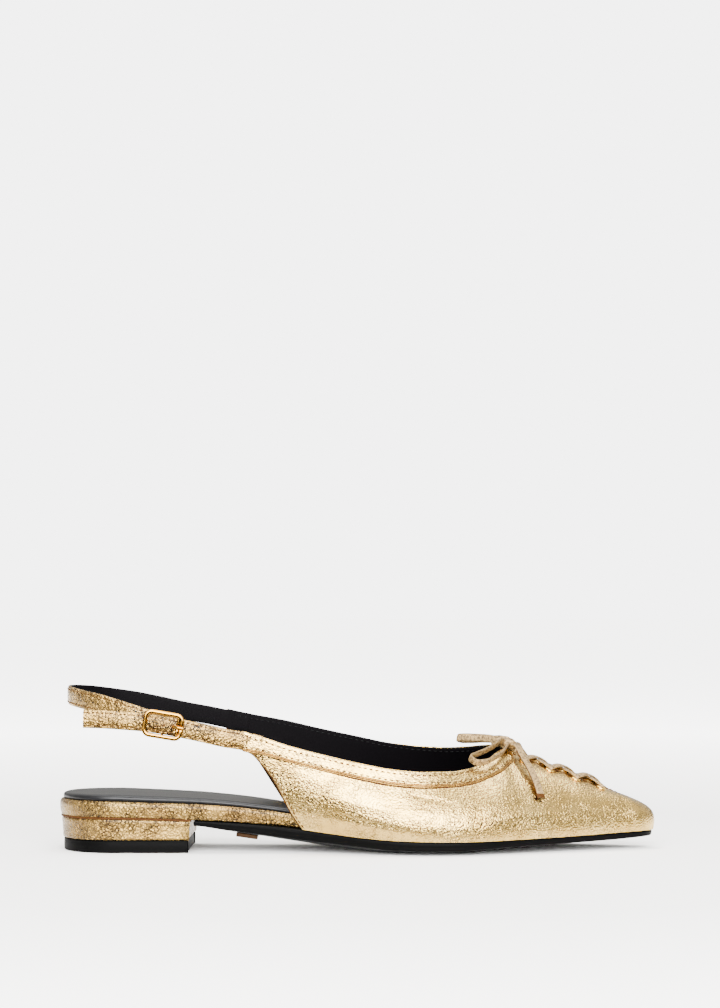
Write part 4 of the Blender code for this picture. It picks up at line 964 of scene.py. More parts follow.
def creases(s, share):
    """Sum of ridges: height * exp(-((share - line) / width) ** 2), faded at a line's ends."""
    total = 0 * share
    for start, end, share_0, share_1, width, height in CREASES:
        t = (s - start) / (end - start)
        inside = rise_over(t, 0.0, 0.3) * (1 - rise_over(t, 0.7, 1.0))
        line = share_0 + (share_1 - share_0) * np.clip(t, 0, 1)
        total = total + inside * height * MM * np.exp(-((share - line) / width) ** 2)
    return total


def fullness(s, share):
    """Quarters stand out a little low down: 1.3 mm times a hump from 0.2 to 1 of the way down."""
    hump = rise_over(share, 0.18, 0.76) * (1 - rise_over(share, 0.80, 1.0))
    return 1.3 * MM * hump * rise_over(np.abs(s), 9.5, 14.5)


def puckers(s, share):
    """Lasting folds: waves along the toe's foot, dying out within a tenth of the rib."""
    near = np.exp(-((1 - share) / 0.07) ** 2) * (1 - rise_over(np.abs(s), 6.5, 9.5))
    return 0.16 * MM * near * np.sin(2 * math.pi * s / 0.62 + 1.3 * np.sin(2.1 * s))


def band_fade(s):
    """1 where the raised band runs, 0 along the slit."""
    return np.clip((rib_value(14, 14, s) - 0.75) / 0.2, 0, 1)


def relief(s, distance, total):
    """Height over the bare surface: band step, less a groove at the bead, plus creases.

    The step is a logistic curve 0.95 mm above the band's lower edge, where the bead begins.
    """
    band = np.maximum(band_at(s), NARROWEST_BAND)
    below = (distance - band) / MM
    step = BAND_STEP / (1 + np.exp((below + 0.95) / 0.06))
    groove = -0.15 * MM * np.exp(-((below - 0.55) / 0.3) ** 2)
    share = distance / total
    form = creases(s, share) + puckers(s, share) + fullness(s, share)
    return band_fade(s) * (step + groove) + form * rise_over(below, 0.5, 6.0)


print("creases", len(CREASES), "and a band step of", BAND_STEP / MM, "mm")

# %% [markdown]
# Now the wall itself: one closed section for each rib, and all sections joined to a loft. The
# rows go over the topline on an arc, down the outside with the relief on them, and up again on
# the inside. The first and last few ribs lie close together, so that the rear edges can be
# rounded.

# %% Skin
SKIN = 1.0 * MM
ROLLED_WALL = 1.15 * MM
EDGE_RIBS = 0.13
EDGE_ROUND = 0.9 * MM

ends = EDGE_RIBS * np.array([0, 0.02, 0.08, 0.2, 0.4, 0.7])
skin_s = np.concatenate([
    -TOE_RIB + ends, np.linspace(-TOE_RIB + EDGE_RIBS, TOE_RIB - EDGE_RIBS, 430),
    TOE_RIB - ends[::-1]])
skin_curve = rib_curves(skin_s)
skin_total = along_ribs(skin_curve, np.zeros((len(skin_s), 1)))[1]
column_s = skin_s[:, None]
band = np.maximum(band_at(column_s), NARROWEST_BAND)
top_height = BAND_STEP * band_fade(column_s)
roll = (top_height + ROLLED_WALL) / 2
outside = np.concatenate([
    roll + np.linspace(0, 1, 14) * (band - 1.5 * MM - roll),
    band + np.linspace(-1.5, 0.7, 20)[1:] * MM,
    band + 0.7 * MM + np.linspace(0, 1, 78)[1:] * (skin_total - band - 0.7 * MM)], axis=1)
base = along_ribs(skin_curve, outside)[0]
normal = grid_normals(base)
from_edge = np.clip((TOE_RIB - np.abs(column_s)) / EDGE_RIBS, 0, 1)
edge_drop = EDGE_ROUND * (1 - np.sqrt(1 - (1 - from_edge) ** 2))
outer_skin = base + normal * (relief(column_s, outside, skin_total) - edge_drop)[..., None]
angle = np.radians(np.linspace(5, 80, 8))[None, :]
over = along_ribs(skin_curve, roll * (1 - np.cos(angle)))[0]
over_height = np.minimum(top_height - roll + roll * np.sin(angle), top_height - edge_drop)
over_skin = over + normal[:, :1] * over_height[..., None]
back_rows = skin_total + np.linspace(0, 1, 16) * (1.4 * roll - skin_total)
back = along_ribs(skin_curve, back_rows)[0]
back_skin = back + grid_normals(back) * SKIN
sections = np.concatenate([over_skin, outer_skin, back_skin], axis=1)
verts, faces = loft(sections)
make_piece("upper_skin", verts, faces, UPPER_FOIL, "gold_foil_leather", ("upper",), 60)

# %% [markdown]
# The lining is a second wall inside the skin. It stops just below the rolled topline, where its
# own edge is rolled too, so a black line shows inside the gold one from above. On the inner side
# the lining's lip is pulled up half a millimetre, which leaves that side black when it is seen
# across the shoe.

# %% Lining
LINING_START, LINING_OUTSIDE, LINING_INSIDE = 0.9 * MM, 1.03 * MM, 1.8 * MM
lining_s = np.linspace(-TOE_RIB + 0.06, TOE_RIB - 0.06, 260)
lining_curve = rib_curves(lining_s)
lining_total = along_ribs(lining_curve, np.zeros((len(lining_s), 1)))[1]
down_rows = LINING_START + np.linspace(0, 1, 50) * (lining_total - 1.1 * MM)
lining_base = along_ribs(lining_curve, down_rows)[0]
lining_normal = grid_normals(lining_base)
lining_out = lining_base - lining_normal * LINING_OUTSIDE
lining_in = lining_base - lining_normal * LINING_INSIDE
angle = np.radians(np.linspace(-80, 80, 7))[None, :]
lip_rows = LINING_START - 0.8 * MM * np.cos(angle) + 0 * lining_total
lip = along_ribs(lining_curve, lip_rows)[0]
lip = lip - lining_normal[:, :1] * (1.415 * MM - 0.385 * MM * np.sin(angle))[..., None]
lining_up = along_ribs(lining_curve, np.array([[0.0, 0.6]]) * MM + 0 * lining_total)[0]
lining_up = unit(lining_up[:, :1] - lining_up[:, 1:])
raised = 0.5 * MM * rise_over(lining_s, 6.2, 7.6)[:, None]
lip = lip + lining_up * raised[..., None]
fade = (raised * (1 - rise_over(down_rows, LINING_START, 5 * MM)))[..., None]
lining_out, lining_in = lining_out + lining_up * fade, lining_in + lining_up * fade
verts, faces = loft(np.concatenate([lip, lining_out, lining_in[:, ::-1]], axis=1))
make_piece("upper_lining", verts, faces, LINING, "black_satin", (), 60)

# %% [markdown]
# ## Beads and stitches
#
# Two fine cords lie side by side under the band, and rows of stitches run along every edge. A
# stitch is a short thread pulled into the leather, so each one is a small ellipsoid half sunk in
# the surface. The stitches are drawn dark brown, which is partly painted shade of the needle
# holes. There are hundreds, so they are placed as one array and joined in one mesh.
# Separate objects would look the same and be slow to handle.

# %% Lines and stitches


def on_upper(s, distance):
    """Point and outward normal of the skin at rib s and a distance below the topline.

    The normal is the step down the rib crossed with the step to the next rib.
    """
    def place(ribs, rows):
        """One point on each rib, at its own distance down it."""
        curves = rib_curves(ribs)
        points, total = along_ribs(curves, rows[:, None])
        return points[:, 0], total[:, 0]

    here, total = place(s, distance)
    below, side = place(s, distance + 0.3 * MM)[0], place(s + 0.02, distance)[0]
    outwards = unit(np.cross(below - here, side - here))
    return here + outwards * relief(s, distance, total)[:, None], outwards


def cord_sections(path, outwards, radius, size=10):
    """Circles along a path: radius times cosine outwards, plus sine across."""
    across = unit(np.cross(outwards, path_tangent(path)))
    angle = np.linspace(0, 2 * math.pi, size, endpoint=False)
    return carry(path, across, outwards, radius * np.cos(angle), radius * np.sin(angle))


def paced(points, outwards, pitch):
    """Points every pitch metres along a line, with the tangents and normals there."""
    run = np.concatenate([[0], np.linalg.norm(np.diff(points, axis=0), axis=1).cumsum()])
    at = np.arange(pitch / 2, run[-1], pitch)
    place = np.stack([np.interp(at, run, column) for column in points.T], axis=1)
    tangent = np.stack([np.interp(at, run, column) for column in path_tangent(points).T], axis=1)
    up = np.stack([np.interp(at, run, column) for column in outwards.T], axis=1)
    return place, unit(tangent), unit(up)


def stitch_mesh(lines, length, radius):
    """Ellipsoids along the seams: x * tangent + y * across + z * normal for every stitch."""
    place, tangent, up = (np.concatenate(part) for part in zip(*lines))
    across = np.cross(up, tangent)
    t, a = np.linspace(0.3, math.pi - 0.3, 5), np.linspace(0, 2 * math.pi, 8, endpoint=False)
    x = (-np.cos(t) * length / 2)[:, None] + 0 * a
    y, z = np.sin(t)[:, None] * np.cos(a) * radius, np.sin(t)[:, None] * np.sin(a) * radius
    shape = np.stack([x, y, z], axis=-1).reshape(-1, 3)
    verts = place[:, None] + np.einsum("vk,nkc->nvc", shape, np.stack([tangent, across, up], 1))
    rings = quads(5, 8, closed=True).tolist() + [list(range(8))[::-1], list(range(32, 40))]
    sizes = np.arange(len(place))[:, None] * 40
    quad_faces = (sizes[..., None] + np.array(rings[:-2])).reshape(-1, 4).tolist()
    cap_faces = (sizes[..., None] + np.array(rings[-2:])).reshape(-1, 8).tolist()
    return verts.reshape(-1, 3), quad_faces + cap_faces


def many_lofts(lofts):
    """Several lofts joined in one mesh, each face list moved up by the points before it."""
    verts, faces, before = [], [], 0
    for part, rings in lofts:
        verts.append(part)
        faces += [[index + before for index in face] for face in rings]
        before += len(part)
    return np.concatenate(verts), faces


STITCH_PITCH = 2.6 * MM
print("stitches", STITCH_PITCH / MM, "mm apart")

# %% [markdown]
# The bead is a cord on each side of the line where the band ends. A thin dark cord is sunk in the
# groove between its two cords and in the groove under them, a painted shade in those grooves. Two
# rows of stitches hold the band, one near the topline and one near the bead.

# %% Bead and band seams
BEAD_RADIUS, SHADE_LINE_RADIUS, SUNK = 0.35 * MM, 0.3 * MM, 0.02 * MM
TOP_SEAM, BAND_SEAM = 1.95 * MM, 1.75 * MM

bead_lofts, shade_line_lofts, seams = [], [], []
for side in (-1, 1):
    s_line = side * np.linspace(TOE_RIB - 0.05, 6.75, 620)
    for lofts, radius, rows in ((bead_lofts, BEAD_RADIUS, (-0.62, 0.12)),
                                (shade_line_lofts, SHADE_LINE_RADIUS, (-0.25, 0.62))):
        for below in rows:
            path, outwards = on_upper(s_line, band_at(s_line) + below * MM)
            lofts.append(loft(cord_sections(path - outwards * SUNK, outwards, radius)))
    seams.append(paced(*on_upper(s_line, band_at(s_line) - BAND_SEAM), STITCH_PITCH))
s_line = np.linspace(-TOE_RIB + 0.25, TOE_RIB - 0.25, 900)
seams.append(paced(*on_upper(s_line, 0 * s_line + TOP_SEAM), STITCH_PITCH))
verts, faces = many_lofts(bead_lofts)
make_piece("topline_bead", verts, faces, BEAD_FOIL, "gold_foil_leather", (), 60)
# Dark cords in the bead's two grooves: painted shade
verts, faces = many_lofts(shade_line_lofts)
make_piece("bead_painted_shade_lines", verts, faces, DYE_AND_PAINTED_SHADE, "gold_foil_leather", (), 60)

# %% [markdown]
# Three more lines are drawn the same way: black stitches that show in the far lining, a dark cord
# in the joint between heel and board, which is painted shade in that groove, and the dyed cut edge
# at the back of each quarter, with its own row of stitches beside it.

# %% Lining stitches, seat line and rear edges
inside = (lining_s > 7.3) & (lining_s < TOE_RIB - 0.3)
tick_path = (lining_base + lining_up * fade - lining_normal * 1.83 * MM)[inside]
tick_row = np.argmin(np.abs(down_rows[inside] - 1.9 * MM), axis=1)
picked = np.arange(len(tick_row)), tick_row
ticks = paced(tick_path[picked], -lining_normal[inside][picked], STITCH_PITCH)
verts, faces = stitch_mesh([ticks], 1.7 * MM, 0.26 * MM)
make_piece("lining_stitches", verts, faces, BLACK_THREAD, "black_satin", (), 60)

sides = [outline_side(heel_stations, side) for side in (-1, 1)]
seat = np.concatenate([sides[0][::-1], sides[1][1:]])
seat = resample(np.column_stack([seat, seat_line(seat[:, 0]) - 0.05 * MM]), 220)
seat_out = unit(np.cross([0, 0, 1.0], path_tangent(seat)))
# Dark cord in the joint between heel and board: painted shade in the groove
verts, faces = loft(cord_sections(seat - seat_out * 0.95 * MM, seat_out, 0.5 * MM))
make_piece("heel_seat_line", verts, faces, DYE_AND_PAINTED_SHADE, "gold_foil_leather", (), 60)

rear_lofts = []
share = np.linspace(0.02, 0.97, 90)
for side in (-1, 1):
    edge_s = side * (TOE_RIB + 0 * share)
    total = along_ribs(rib_curves(edge_s), share[:, None])[1][:, 0]
    spacing = np.linalg.norm(on_upper(edge_s, share * total)[0]
                             - on_upper(edge_s - 0.3 * side, share * total)[0], axis=1) / 0.3
    seams.append(paced(*on_upper(edge_s - side * 2.3 * MM / spacing, share * total), 2.4 * MM))
    path, outwards = on_upper(edge_s - side * 0.15 * MM / spacing, share * total)
    rear_lofts.append(loft(cord_sections(path - outwards * 0.75 * MM, outwards, 0.42 * MM)))
verts, faces = many_lofts(rear_lofts)
make_piece("rear_edge_line", verts, faces, DYE_AND_PAINTED_SHADE, "gold_foil_leather", (), 60)
verts, faces = stitch_mesh(seams, 1.75 * MM, 0.34 * MM)
make_piece("upper_stitches", verts, faces, THREAD_AND_HOLE_SHADE, "gold_lace", (), 60)

# %% [markdown]
# ## Straps and buckle
#
# The heel strap is one ribbon on edge. It comes from the inner quarter, goes round the back and
# folds round the buckle's bar. The short strap from the outer quarter goes through the frame, and
# its tail lies outside. Both are folded leather with domed faces, stitched 1.3 mm from each edge.

# %% Strap routes
SLING = np.array([
    # along, out, rise: of LENGTH, BALL_WIDTH and STRAP_HEIGHT
    (0.2690, 0.3465, 0.828), (0.2450, 0.348, 0.842), (0.2000, 0.347, 0.874),
    (0.1550, 0.339, 0.912), (0.1150, 0.318, 0.943), (0.0760, 0.279, 0.966),
    (0.0440, 0.212, 0.984), (0.0220, 0.115, 0.992), (0.0160, 0.000, 0.994),
    (0.0220, -0.115, 0.987), (0.0440, -0.216, 0.969), (0.0760, -0.290, 0.943),
    (0.1150, -0.338, 0.900), (0.1550, -0.362, 0.852), (0.1885, -0.3670, 0.812),
])
TAIL = np.array([
    (0.3070, -0.368, 0.714), (0.2840, -0.374, 0.730), (0.2440, -0.384, 0.765),
    (0.2140, -0.392, 0.790), (0.1820, -0.408, 0.815), (0.1500, -0.394, 0.831),
    (0.1150, -0.387, 0.842), (0.0800, -0.379, 0.850), (0.0500, -0.366, 0.853),
])
LOOP_THICKNESS = 3.2 * MM
STRAP_SEAM = 1.3  # millimetres in from each edge


def strap_path(table, count):
    """Even steps along a table of shares of the length, the ball width and the strap's height."""
    return resample(table * np.array([LENGTH, BALL_WIDTH, STRAP_HEIGHT]), count)


def upright_frame(path):
    """Across the strap and out of it: tangent x vertical is out, out x tangent is across."""
    outwards = unit(np.cross(path_tangent(path), [0, 0, 1.0]))
    return np.cross(outwards, path_tangent(path)), outwards


def strap_root(side):
    """Where a strap is sewn into the quarter: middle of the band, sinking into it as it goes."""
    s = side * np.array([17.1, 17.4, 17.7, 17.95])
    point, outwards = on_upper(s, 0.5 * band_at(s))
    return point - outwards * np.array([1.6, 1.4, 1.25, 1.2])[:, None] * MM


print("strap routes of", len(SLING), "and", len(TAIL), "rows")

# %% [markdown]
# A strap is a section carried along its route and kept upright. The outer face bulges by a
# quarter of a millimetre and dips along both seams, as folded leather does round its stitches. A
# thin black ribbon behind it is the lining. Near the buckle the heel strap is folded back on
# itself, so it grows thicker there.

# %% Straps


def make_strap(name, table, side, count, width, thickness):
    """Domed ribbon on edge with a lining behind it; gives back its two seams.

    Height over the middle: the section, plus 0.28 mm times one less share squared, less a dip
    0.16 mm deep at each seam.
    """
    rows = table[1:] * np.array([LENGTH, BALL_WIDTH, STRAP_HEIGHT])
    path = resample(np.concatenate([strap_root(side), rows]), count)
    across, outwards = upright_frame(path)
    outwards = outwards * side
    a, n = flat_section(1.0, 1.0, 32, 4.0)
    deep = np.broadcast_to(thickness, count)[:, None]
    dome = 0.28 * MM * (1 - (2 * a) ** 2) * (n > 0)
    from_seam = np.abs(a) * width / MM - width / MM / 2 + STRAP_SEAM
    edge_dip = -0.16 * MM * np.exp(-(from_seam / 0.35) ** 2)
    height = (n * 0.62 + 0.19) * deep + dome + edge_dip * (n > 0)
    make_piece(name + "_leather", *loft(carry(path, across, outwards, a * width, height)),
               SHADED_STRAP_FOIL, "gold_foil_leather", (name,), 60)
    behind = path - outwards * 0.33 * deep
    a, n = flat_section(1.0, 1.0, 20, 4.0)
    lining = carry(behind, across, outwards, a * (width + 0.15 * MM), n * 0.4 * deep)
    make_piece(name + "_lining", *loft(lining), LINING, "black_satin", (), 60)
    rise = deep / 2 + 0.06 * MM
    return [paced(path + outwards * rise + across * edge * (width / 2 - STRAP_SEAM * MM), outwards,
                  2.0 * MM) for edge in (-1, 1)]


sling_thickness = np.full(220, STRAP_THICKNESS)
sling_thickness[-20:] = np.linspace(STRAP_THICKNESS, LOOP_THICKNESS, 20)
strap_seams = make_strap("sling_strap", SLING, 1, 220, STRAP_WIDTH, sling_thickness)
strap_seams += make_strap("buckle_strap", TAIL, -1, 140, TAIL_WIDTH, STRAP_THICKNESS)
verts, faces = stitch_mesh(strap_seams, 1.35 * MM, 0.3 * MM)
make_piece("strap_stitches", verts, faces, THREAD_AND_HOLE_SHADE, "gold_lace", (), 60)

# %% [markdown]
# The buckle is cast and plated. Its front bar is grooved along the middle with a notch for the
# prong, so two bars lie side by side there. The centre bar goes behind the strap, in the heel
# strap's fold. The frame is a wire carried round a rectangle with round corners.

# %% Buckle frame
FRAME_LENGTH, FRAME_HEIGHT, FRAME_WIRE, FRAME_CORNER = 16 * MM, 10.2 * MM, 1.5 * MM, 2.6 * MM
FRAME_LIFT = STRAP_THICKNESS / 2 + GAP + FRAME_WIRE / 2 - 0.9 * MM
BAR_DEPTH = STRAP_THICKNESS / 2 + GAP + LOOP_THICKNESS / 2
PRONG_HOLE, PRONG_WIRE = 3.9 * MM, 0.9 * MM

tail_path = strap_path(TAIL, 121)
middle_i = int(np.argmin(np.abs(tail_path[:, 0] - 0.182 * LENGTH)))
buckle_middle = tail_path[middle_i]
buckle_forward = unit((tail_path[middle_i - 8] - tail_path[middle_i + 8]) * (1, 0, 1))
buckle_up = np.array([-buckle_forward[2], 0, buckle_forward[0]])
buckle_out = np.array([0, -1.0, 0])


def in_buckle(points):
    """Points given as forward, up and out of the buckle's plane, in metres."""
    return buckle_middle + np.asarray(points) @ np.stack([buckle_forward, buckle_up, buckle_out])


def wire_sections(path, out, width, height, size=16):
    """Rounded section along a wire: width across it in the plane, height out of the plane."""
    across = unit(np.cross(out, path_tangent(path)))
    a, n = flat_section(1.0, 1.0, size, 2.6)
    return carry(path, across, np.broadcast_to(out, path.shape), a * width, n * height)


def prong_notch(up_bar):
    """Notch for the prong: 0.5 mm deep, falling off as exp(-(place / 0.75 mm) ** 2)."""
    return -0.5 * MM * np.exp(-(up_bar / (0.75 * MM)) ** 2)


turn = np.linspace(0, math.pi / 2, 14)
half_l, half_h = FRAME_LENGTH / 2 - FRAME_CORNER, FRAME_HEIGHT / 2 - FRAME_CORNER
corner = np.stack([half_l + FRAME_CORNER * np.sin(turn), half_h + FRAME_CORNER * np.cos(turn)], 1)
front_y = np.linspace(half_h, -half_h, 18)[1:-1]
front = np.stack([0 * front_y + FRAME_LENGTH / 2, front_y], axis=1)
half_loop = np.concatenate([corner, front, corner[::-1] * (1, -1)])
loop_plan = np.concatenate([half_loop, half_loop[::-1] * (-1, 1)])
notch = prong_notch(loop_plan[:, 1]) * (loop_plan[:, 0] > 0.4 * FRAME_LENGTH)
frame_path = in_buckle(np.column_stack([loop_plan, FRAME_LIFT + notch]))
closed_tangent = unit(np.roll(frame_path, -1, 0) - np.roll(frame_path, 1, 0))
across = unit(np.cross(buckle_out, closed_tangent))
a, n = flat_section(1.9 * MM, 1.5 * MM, 16, 2.4)
frame_ring = carry(frame_path, across, np.broadcast_to(buckle_out, frame_path.shape), a, n)
bar_y = np.linspace(-FRAME_HEIGHT / 2, FRAME_HEIGHT / 2, 40)
second_bar = in_buckle(np.stack([0 * bar_y + FRAME_LENGTH / 2 - 1.55 * MM, bar_y,
                                 FRAME_LIFT + prong_notch(bar_y)], 1))
leg = FRAME_HEIGHT / 2
centre_bar = resample([
    (0, leg, FRAME_LIFT), (0, leg, -BAR_DEPTH * 0.6), (0, leg - MM, -BAR_DEPTH),
    (0, 0, -BAR_DEPTH), (0, MM - leg, -BAR_DEPTH), (0, -leg, -BAR_DEPTH * 0.6),
    (0, -leg, FRAME_LIFT)], 60)
verts, faces = many_lofts([
    loft(frame_ring, cyclic=True),
    loft(wire_sections(second_bar, buckle_out, 1.25 * MM, 1.3 * MM)),
    loft(wire_sections(in_buckle(centre_bar), buckle_forward, 1.2 * MM, 1.2 * MM))])
make_piece("buckle_frame_gold", verts, faces, BUCKLE_GOLD, "polished_gold_metal",
           ("buckle_frame",), 60)

# %% [markdown]
# The prong is bent wire that thins towards its tip. It comes up through the strap's hole, arches
# over the frame and rests in the notch.

# %% Buckle prong
over = FRAME_LIFT + FRAME_WIRE / 2 + GAP + PRONG_WIRE / 2
prong_plan = [(PRONG_HOLE - 1.1 * MM, 0, -1.6 * MM), (PRONG_HOLE, 0, 0),
              (PRONG_HOLE + 1.1 * MM, 0, 1.5 * MM), (PRONG_HOLE + 2.5 * MM, 0, over - 0.3 * MM),
              (FRAME_LENGTH / 2, 0, over - 0.15 * MM),
              (FRAME_LENGTH / 2 + MM, 0, over - 0.25 * MM)]
prong = in_buckle(resample(prong_plan, 40))
taper = (1 - 0.35 * np.linspace(0, 1, 40) ** 3)[:, None]
a, n = flat_section(1.25 * MM, PRONG_WIRE, 16, 2.4)
prong_sections = carry(prong, np.tile(buckle_up, (40, 1)), unit(np.cross(
    path_tangent(prong), buckle_up)), a * taper, n * taper)
make_piece("buckle_prong_gold", *loft(prong_sections), BUCKLE_GOLD, "polished_gold_metal",
           ("buckle_prong",), 60)

# %% [markdown]
# ## Eyelets
#
# Each eyelet is a ring turned on a lathe: one profile swept round an axis that stands square on
# the vamp. A short black plug in the hole keeps the eye from looking into the empty wall.

# %% Eyelets


def vamp_place(along, side):
    """Point and normal of the vamp, EYELET_INSET down the rib whose x is nearest to along.

    The normal is the step down the rib crossed with the step to the next rib.
    """
    s = side * np.linspace(TOE_RIB - 8, 0.6, 120)
    points = along_ribs(rib_curves(s), np.tile([[EYELET_INSET, EYELET_INSET + 0.5 * MM]],
                                               (len(s), 1)))[0]
    order = np.argsort(points[:, 0, 0])
    i = int(round(float(np.interp(along * LENGTH, points[order, 0, 0], order.astype(float)))))
    down = points[i, 1] - points[i, 0]
    forward = points[min(i + 1, len(s) - 1), 0] - points[i - 1, 0]
    return points[i, 0], -unit(np.cross(down, forward) * side)


places = {(side, row): vamp_place(along, side)
          for side in (-1, 1) for row, along in enumerate(EYELET_ALONG)}
RING = np.array([(0.95, -0.9), (1.3, -0.9), (1.38, -0.1), (2.0, -0.1), (2.12, 0.08), (2.1, 0.32),
                 (1.9, 0.55), (1.6, 0.66), (1.25, 0.6), (1.0, 0.35)]) * MM


def turned(profile, centre, axis, sides=28):
    """Ring turned round an axis: radius times cosine and sine, plus height along the axis."""
    across = unit(np.cross(axis, [0.3, 0.9, 0.1]))
    other = np.cross(axis, across)
    angle = np.linspace(0, 2 * math.pi, sides, endpoint=False)[:, None]
    radial = np.cos(angle)[..., None] * across + np.sin(angle)[..., None] * other
    return centre + radial * profile[None, :, :1] + axis * profile[None, :, 1:]


verts, faces = many_lofts([loft(turned(RING, *place), cyclic=True) for place in places.values()])
names = ["eyelet_%s_%d" % ("outer" if side < 0 else "inner", row + 1) for side, row in places]
make_piece("eyelet_rings", verts, faces, EYELET_GOLD, "polished_gold_metal", names, 60)
WELL = np.array([(0.05, -0.3), (1.1, -0.3), (1.1, 0.02), (0.05, 0.02)]) * MM
verts, faces = many_lofts([loft(turned(WELL, *place, 16), cyclic=True)
                           for place in places.values()])
make_piece("eyelet_wells", verts, faces, LINING, "black_satin", (), 60)

# %% [markdown]
# ## Gusset
#
# Between the two edges of the slit, a strip of the same leather lies under the lace, so no black
# gap shows there. It is a flat tube whose width and height shrink at both ends, and it takes its
# height from the skin beside it.

# %% Gusset under the lace
GUSSET_HALF, GUSSET_DEPTH = 4.2 * MM, 1.2 * MM
gusset_x = np.linspace(0.745, 0.935, 90) * LENGTH
near_s = np.linspace(7.6, 0.4, 200)
slit_top = along_ribs(rib_curves(near_s), 0 * near_s[:, None])[0][:, 0]
order = np.argsort(slit_top[:, 0])
gusset_z = np.interp(gusset_x, slit_top[order, 0], slit_top[order, 2])
swell = np.sqrt(np.clip(rise_over(gusset_x / LENGTH, 0.742, 0.765)
                        * (1 - rise_over(gusset_x / LENGTH, 0.905, 0.938)), 0, 1))[:, None]
angle = np.linspace(0, 2 * math.pi, 28, endpoint=False)[None, :]
half = GUSSET_HALF * (0.35 + 0.65 * swell)
gusset = np.stack([
    gusset_x[:, None] + 0 * angle,
    centre_line(gusset_x)[:, None] + half * np.cos(angle),
    gusset_z[:, None] - GUSSET_DEPTH + (0.4 + 2.0 * swell) * MM * np.sin(angle)], -1)
make_piece("slit_gusset", *loft(gusset), UPPER_FOIL, "gold_foil_leather", (), 60)

# %% [markdown]
# ## Lace
#
# The lace crosses the slit six times, from an eyelet to the next one on the other side. A lace is
# flat, so it is not enough to know where it runs: its width direction is carried along with the
# route, and that is how the folds at the loop tips turn over. A curve object with a bevel can
# tilt too, but a plain array makes it easy to narrow the ribbon where it is drawn through an
# eyelet.

# %% Lace


def lace_ribbon(rows, count, scale=None):
    """Flat ribbon on a route of (point, width direction) rows.

    The width direction is carried as a smooth curve and squared to the route at each station.
    scale narrows and thickens the ribbon where it is drawn through an eyelet.
    """
    rows = np.asarray(rows, float)
    run = np.concatenate([[0], np.linalg.norm(np.diff(rows[:, :3], axis=0), axis=1).cumsum()])
    at = np.linspace(0, run[-1], count)
    line = np.stack([hermite(run, column, np.gradient(column, run), at) for column in rows.T], 1)
    path, way = line[:, :3], line[:, 3:]
    tangent = path_tangent(path)
    across = unit(way - tangent * (way * tangent).sum(axis=1, keepdims=True))
    narrow = np.ones(count) if scale is None else scale(at / run[-1])
    a, n = flat_section(1.0, 1.0, 20, 2.8)
    wide, deep = LACE_WIDTH * narrow[:, None], LACE_THICKNESS * (2 - narrow[:, None])
    sections = carry(path, across, np.cross(tangent, across), a * wide, n * deep)
    around = 2 * (LACE_WIDTH + LACE_THICKNESS)
    return sections, path, lay_uv(path, 20, around)


def crossing_rows(start, end, lift):
    """From below one eyelet, up out of it, over the slit and down into the other."""
    (a, a_up), (b, b_up) = start, end
    way = unit(np.cross((a_up + b_up) / 2, b - a))
    t = np.array([0.0, 0.0, 0.12, 0.3, 0.5, 0.7, 0.88, 1.0, 1.0])[:, None]
    height = np.array([-0.7, 0.75, 1.25, 1.35, 1.35, 1.35, 1.25, 0.75, -0.7])[:, None] * MM
    up = unit((1 - t) * a_up + t * b_up)
    rows = (1 - t) * a + t * b + up * height
    rows[:, 2] += lift * np.sin(math.pi * t[:, 0])
    return np.column_stack([rows, np.tile(way, (len(rows), 1))])


def drawn_in(share):
    """Ribbon width: 0.55 at both eyelets, full between them."""
    return 0.55 + 0.45 * rise_over(share, 0.06, 0.26) * (1 - rise_over(share, 0.74, 0.94))


lace_lofts, lace_uv = [], []
for row in range(len(EYELET_ALONG) - 1):
    for side in (-1, 1):
        lift = (1.0 if side > 0 else 2.2) * MM
        rows = crossing_rows(places[side, row], places[-side, row + 1], lift)
        sections, path, uv = lace_ribbon(rows, 56, drawn_in)
        lace_lofts.append(loft(sections))
        lace_uv.append(uv)
verts, faces = many_lofts(lace_lofts)
make_piece("lace_over_slit", verts, faces, LACE, "gold_lace", ("lace_crossings",), 60,
           uv=np.concatenate(lace_uv))

# %% [markdown]
# ## Bow
#
# The lace's two ends come up through the top eyelets, meet in the knot and make a loop and a tail
# each, so they are two free cords of known length. Their routes are given, as hands tie a bow:
# from the picture on the near side, and by mirroring it loosely on the far side. A simulation
# would settle them, but not into the bow that was tied.

# %% Routes of the bow
KNOT = [(193.5, 3.0, 45.8), (196.5, 1.0, 47.5), (200.5, -0.5, 47.2), (203.5, 0.5, 44.9)]
LOOP_OUTER = [
    (197.2, -2.2, 47.5), (193.5, -8.7, 46.0), (188.5, -14.0, 43.8), (184.2, -18.2, 42.4),
    (182.2, -21.4, 41.4), (184.0, -22.4, 39.8), (188.6, -21.0, 39.6), (193.8, -16.6, 41.6),
    (197.4, -11.6, 43.8), (199.0, -7.4, 45.6),
]
LOOP_INNER = [
    (194.2, 5.7, 48.1), (190.0, 9.4, 48.6), (185.0, 12.6, 48.7), (180.6, 15.2, 48.7),
    (178.2, 17.2, 48.3), (179.8, 18.8, 47.6), (184.4, 17.2, 47.5), (189.6, 13.8, 47.9),
    (194.2, 10.2, 48.0), (197.4, 6.2, 48.1),
]
TAIL_OUTER = [
    (203.0, -3.2, 46.1), (205.4, -7.8, 42.9), (207.0, -10.8, 39.9), (209.2, -14.2, 36.0),
    (211.0, -17.2, 31.8), (212.4, -20.0, 27.6), (213.2, -22.4, 24.0),
]
TAIL_INNER = [
    (203.0, 4.0, 46.7), (206.0, 10.0, 43.6), (208.4, 13.8, 40.4), (211.0, 17.8, 36.4),
    (213.2, 21.6, 32.0), (214.9, 24.9, 27.6), (215.9, 27.2, 24.0),
]


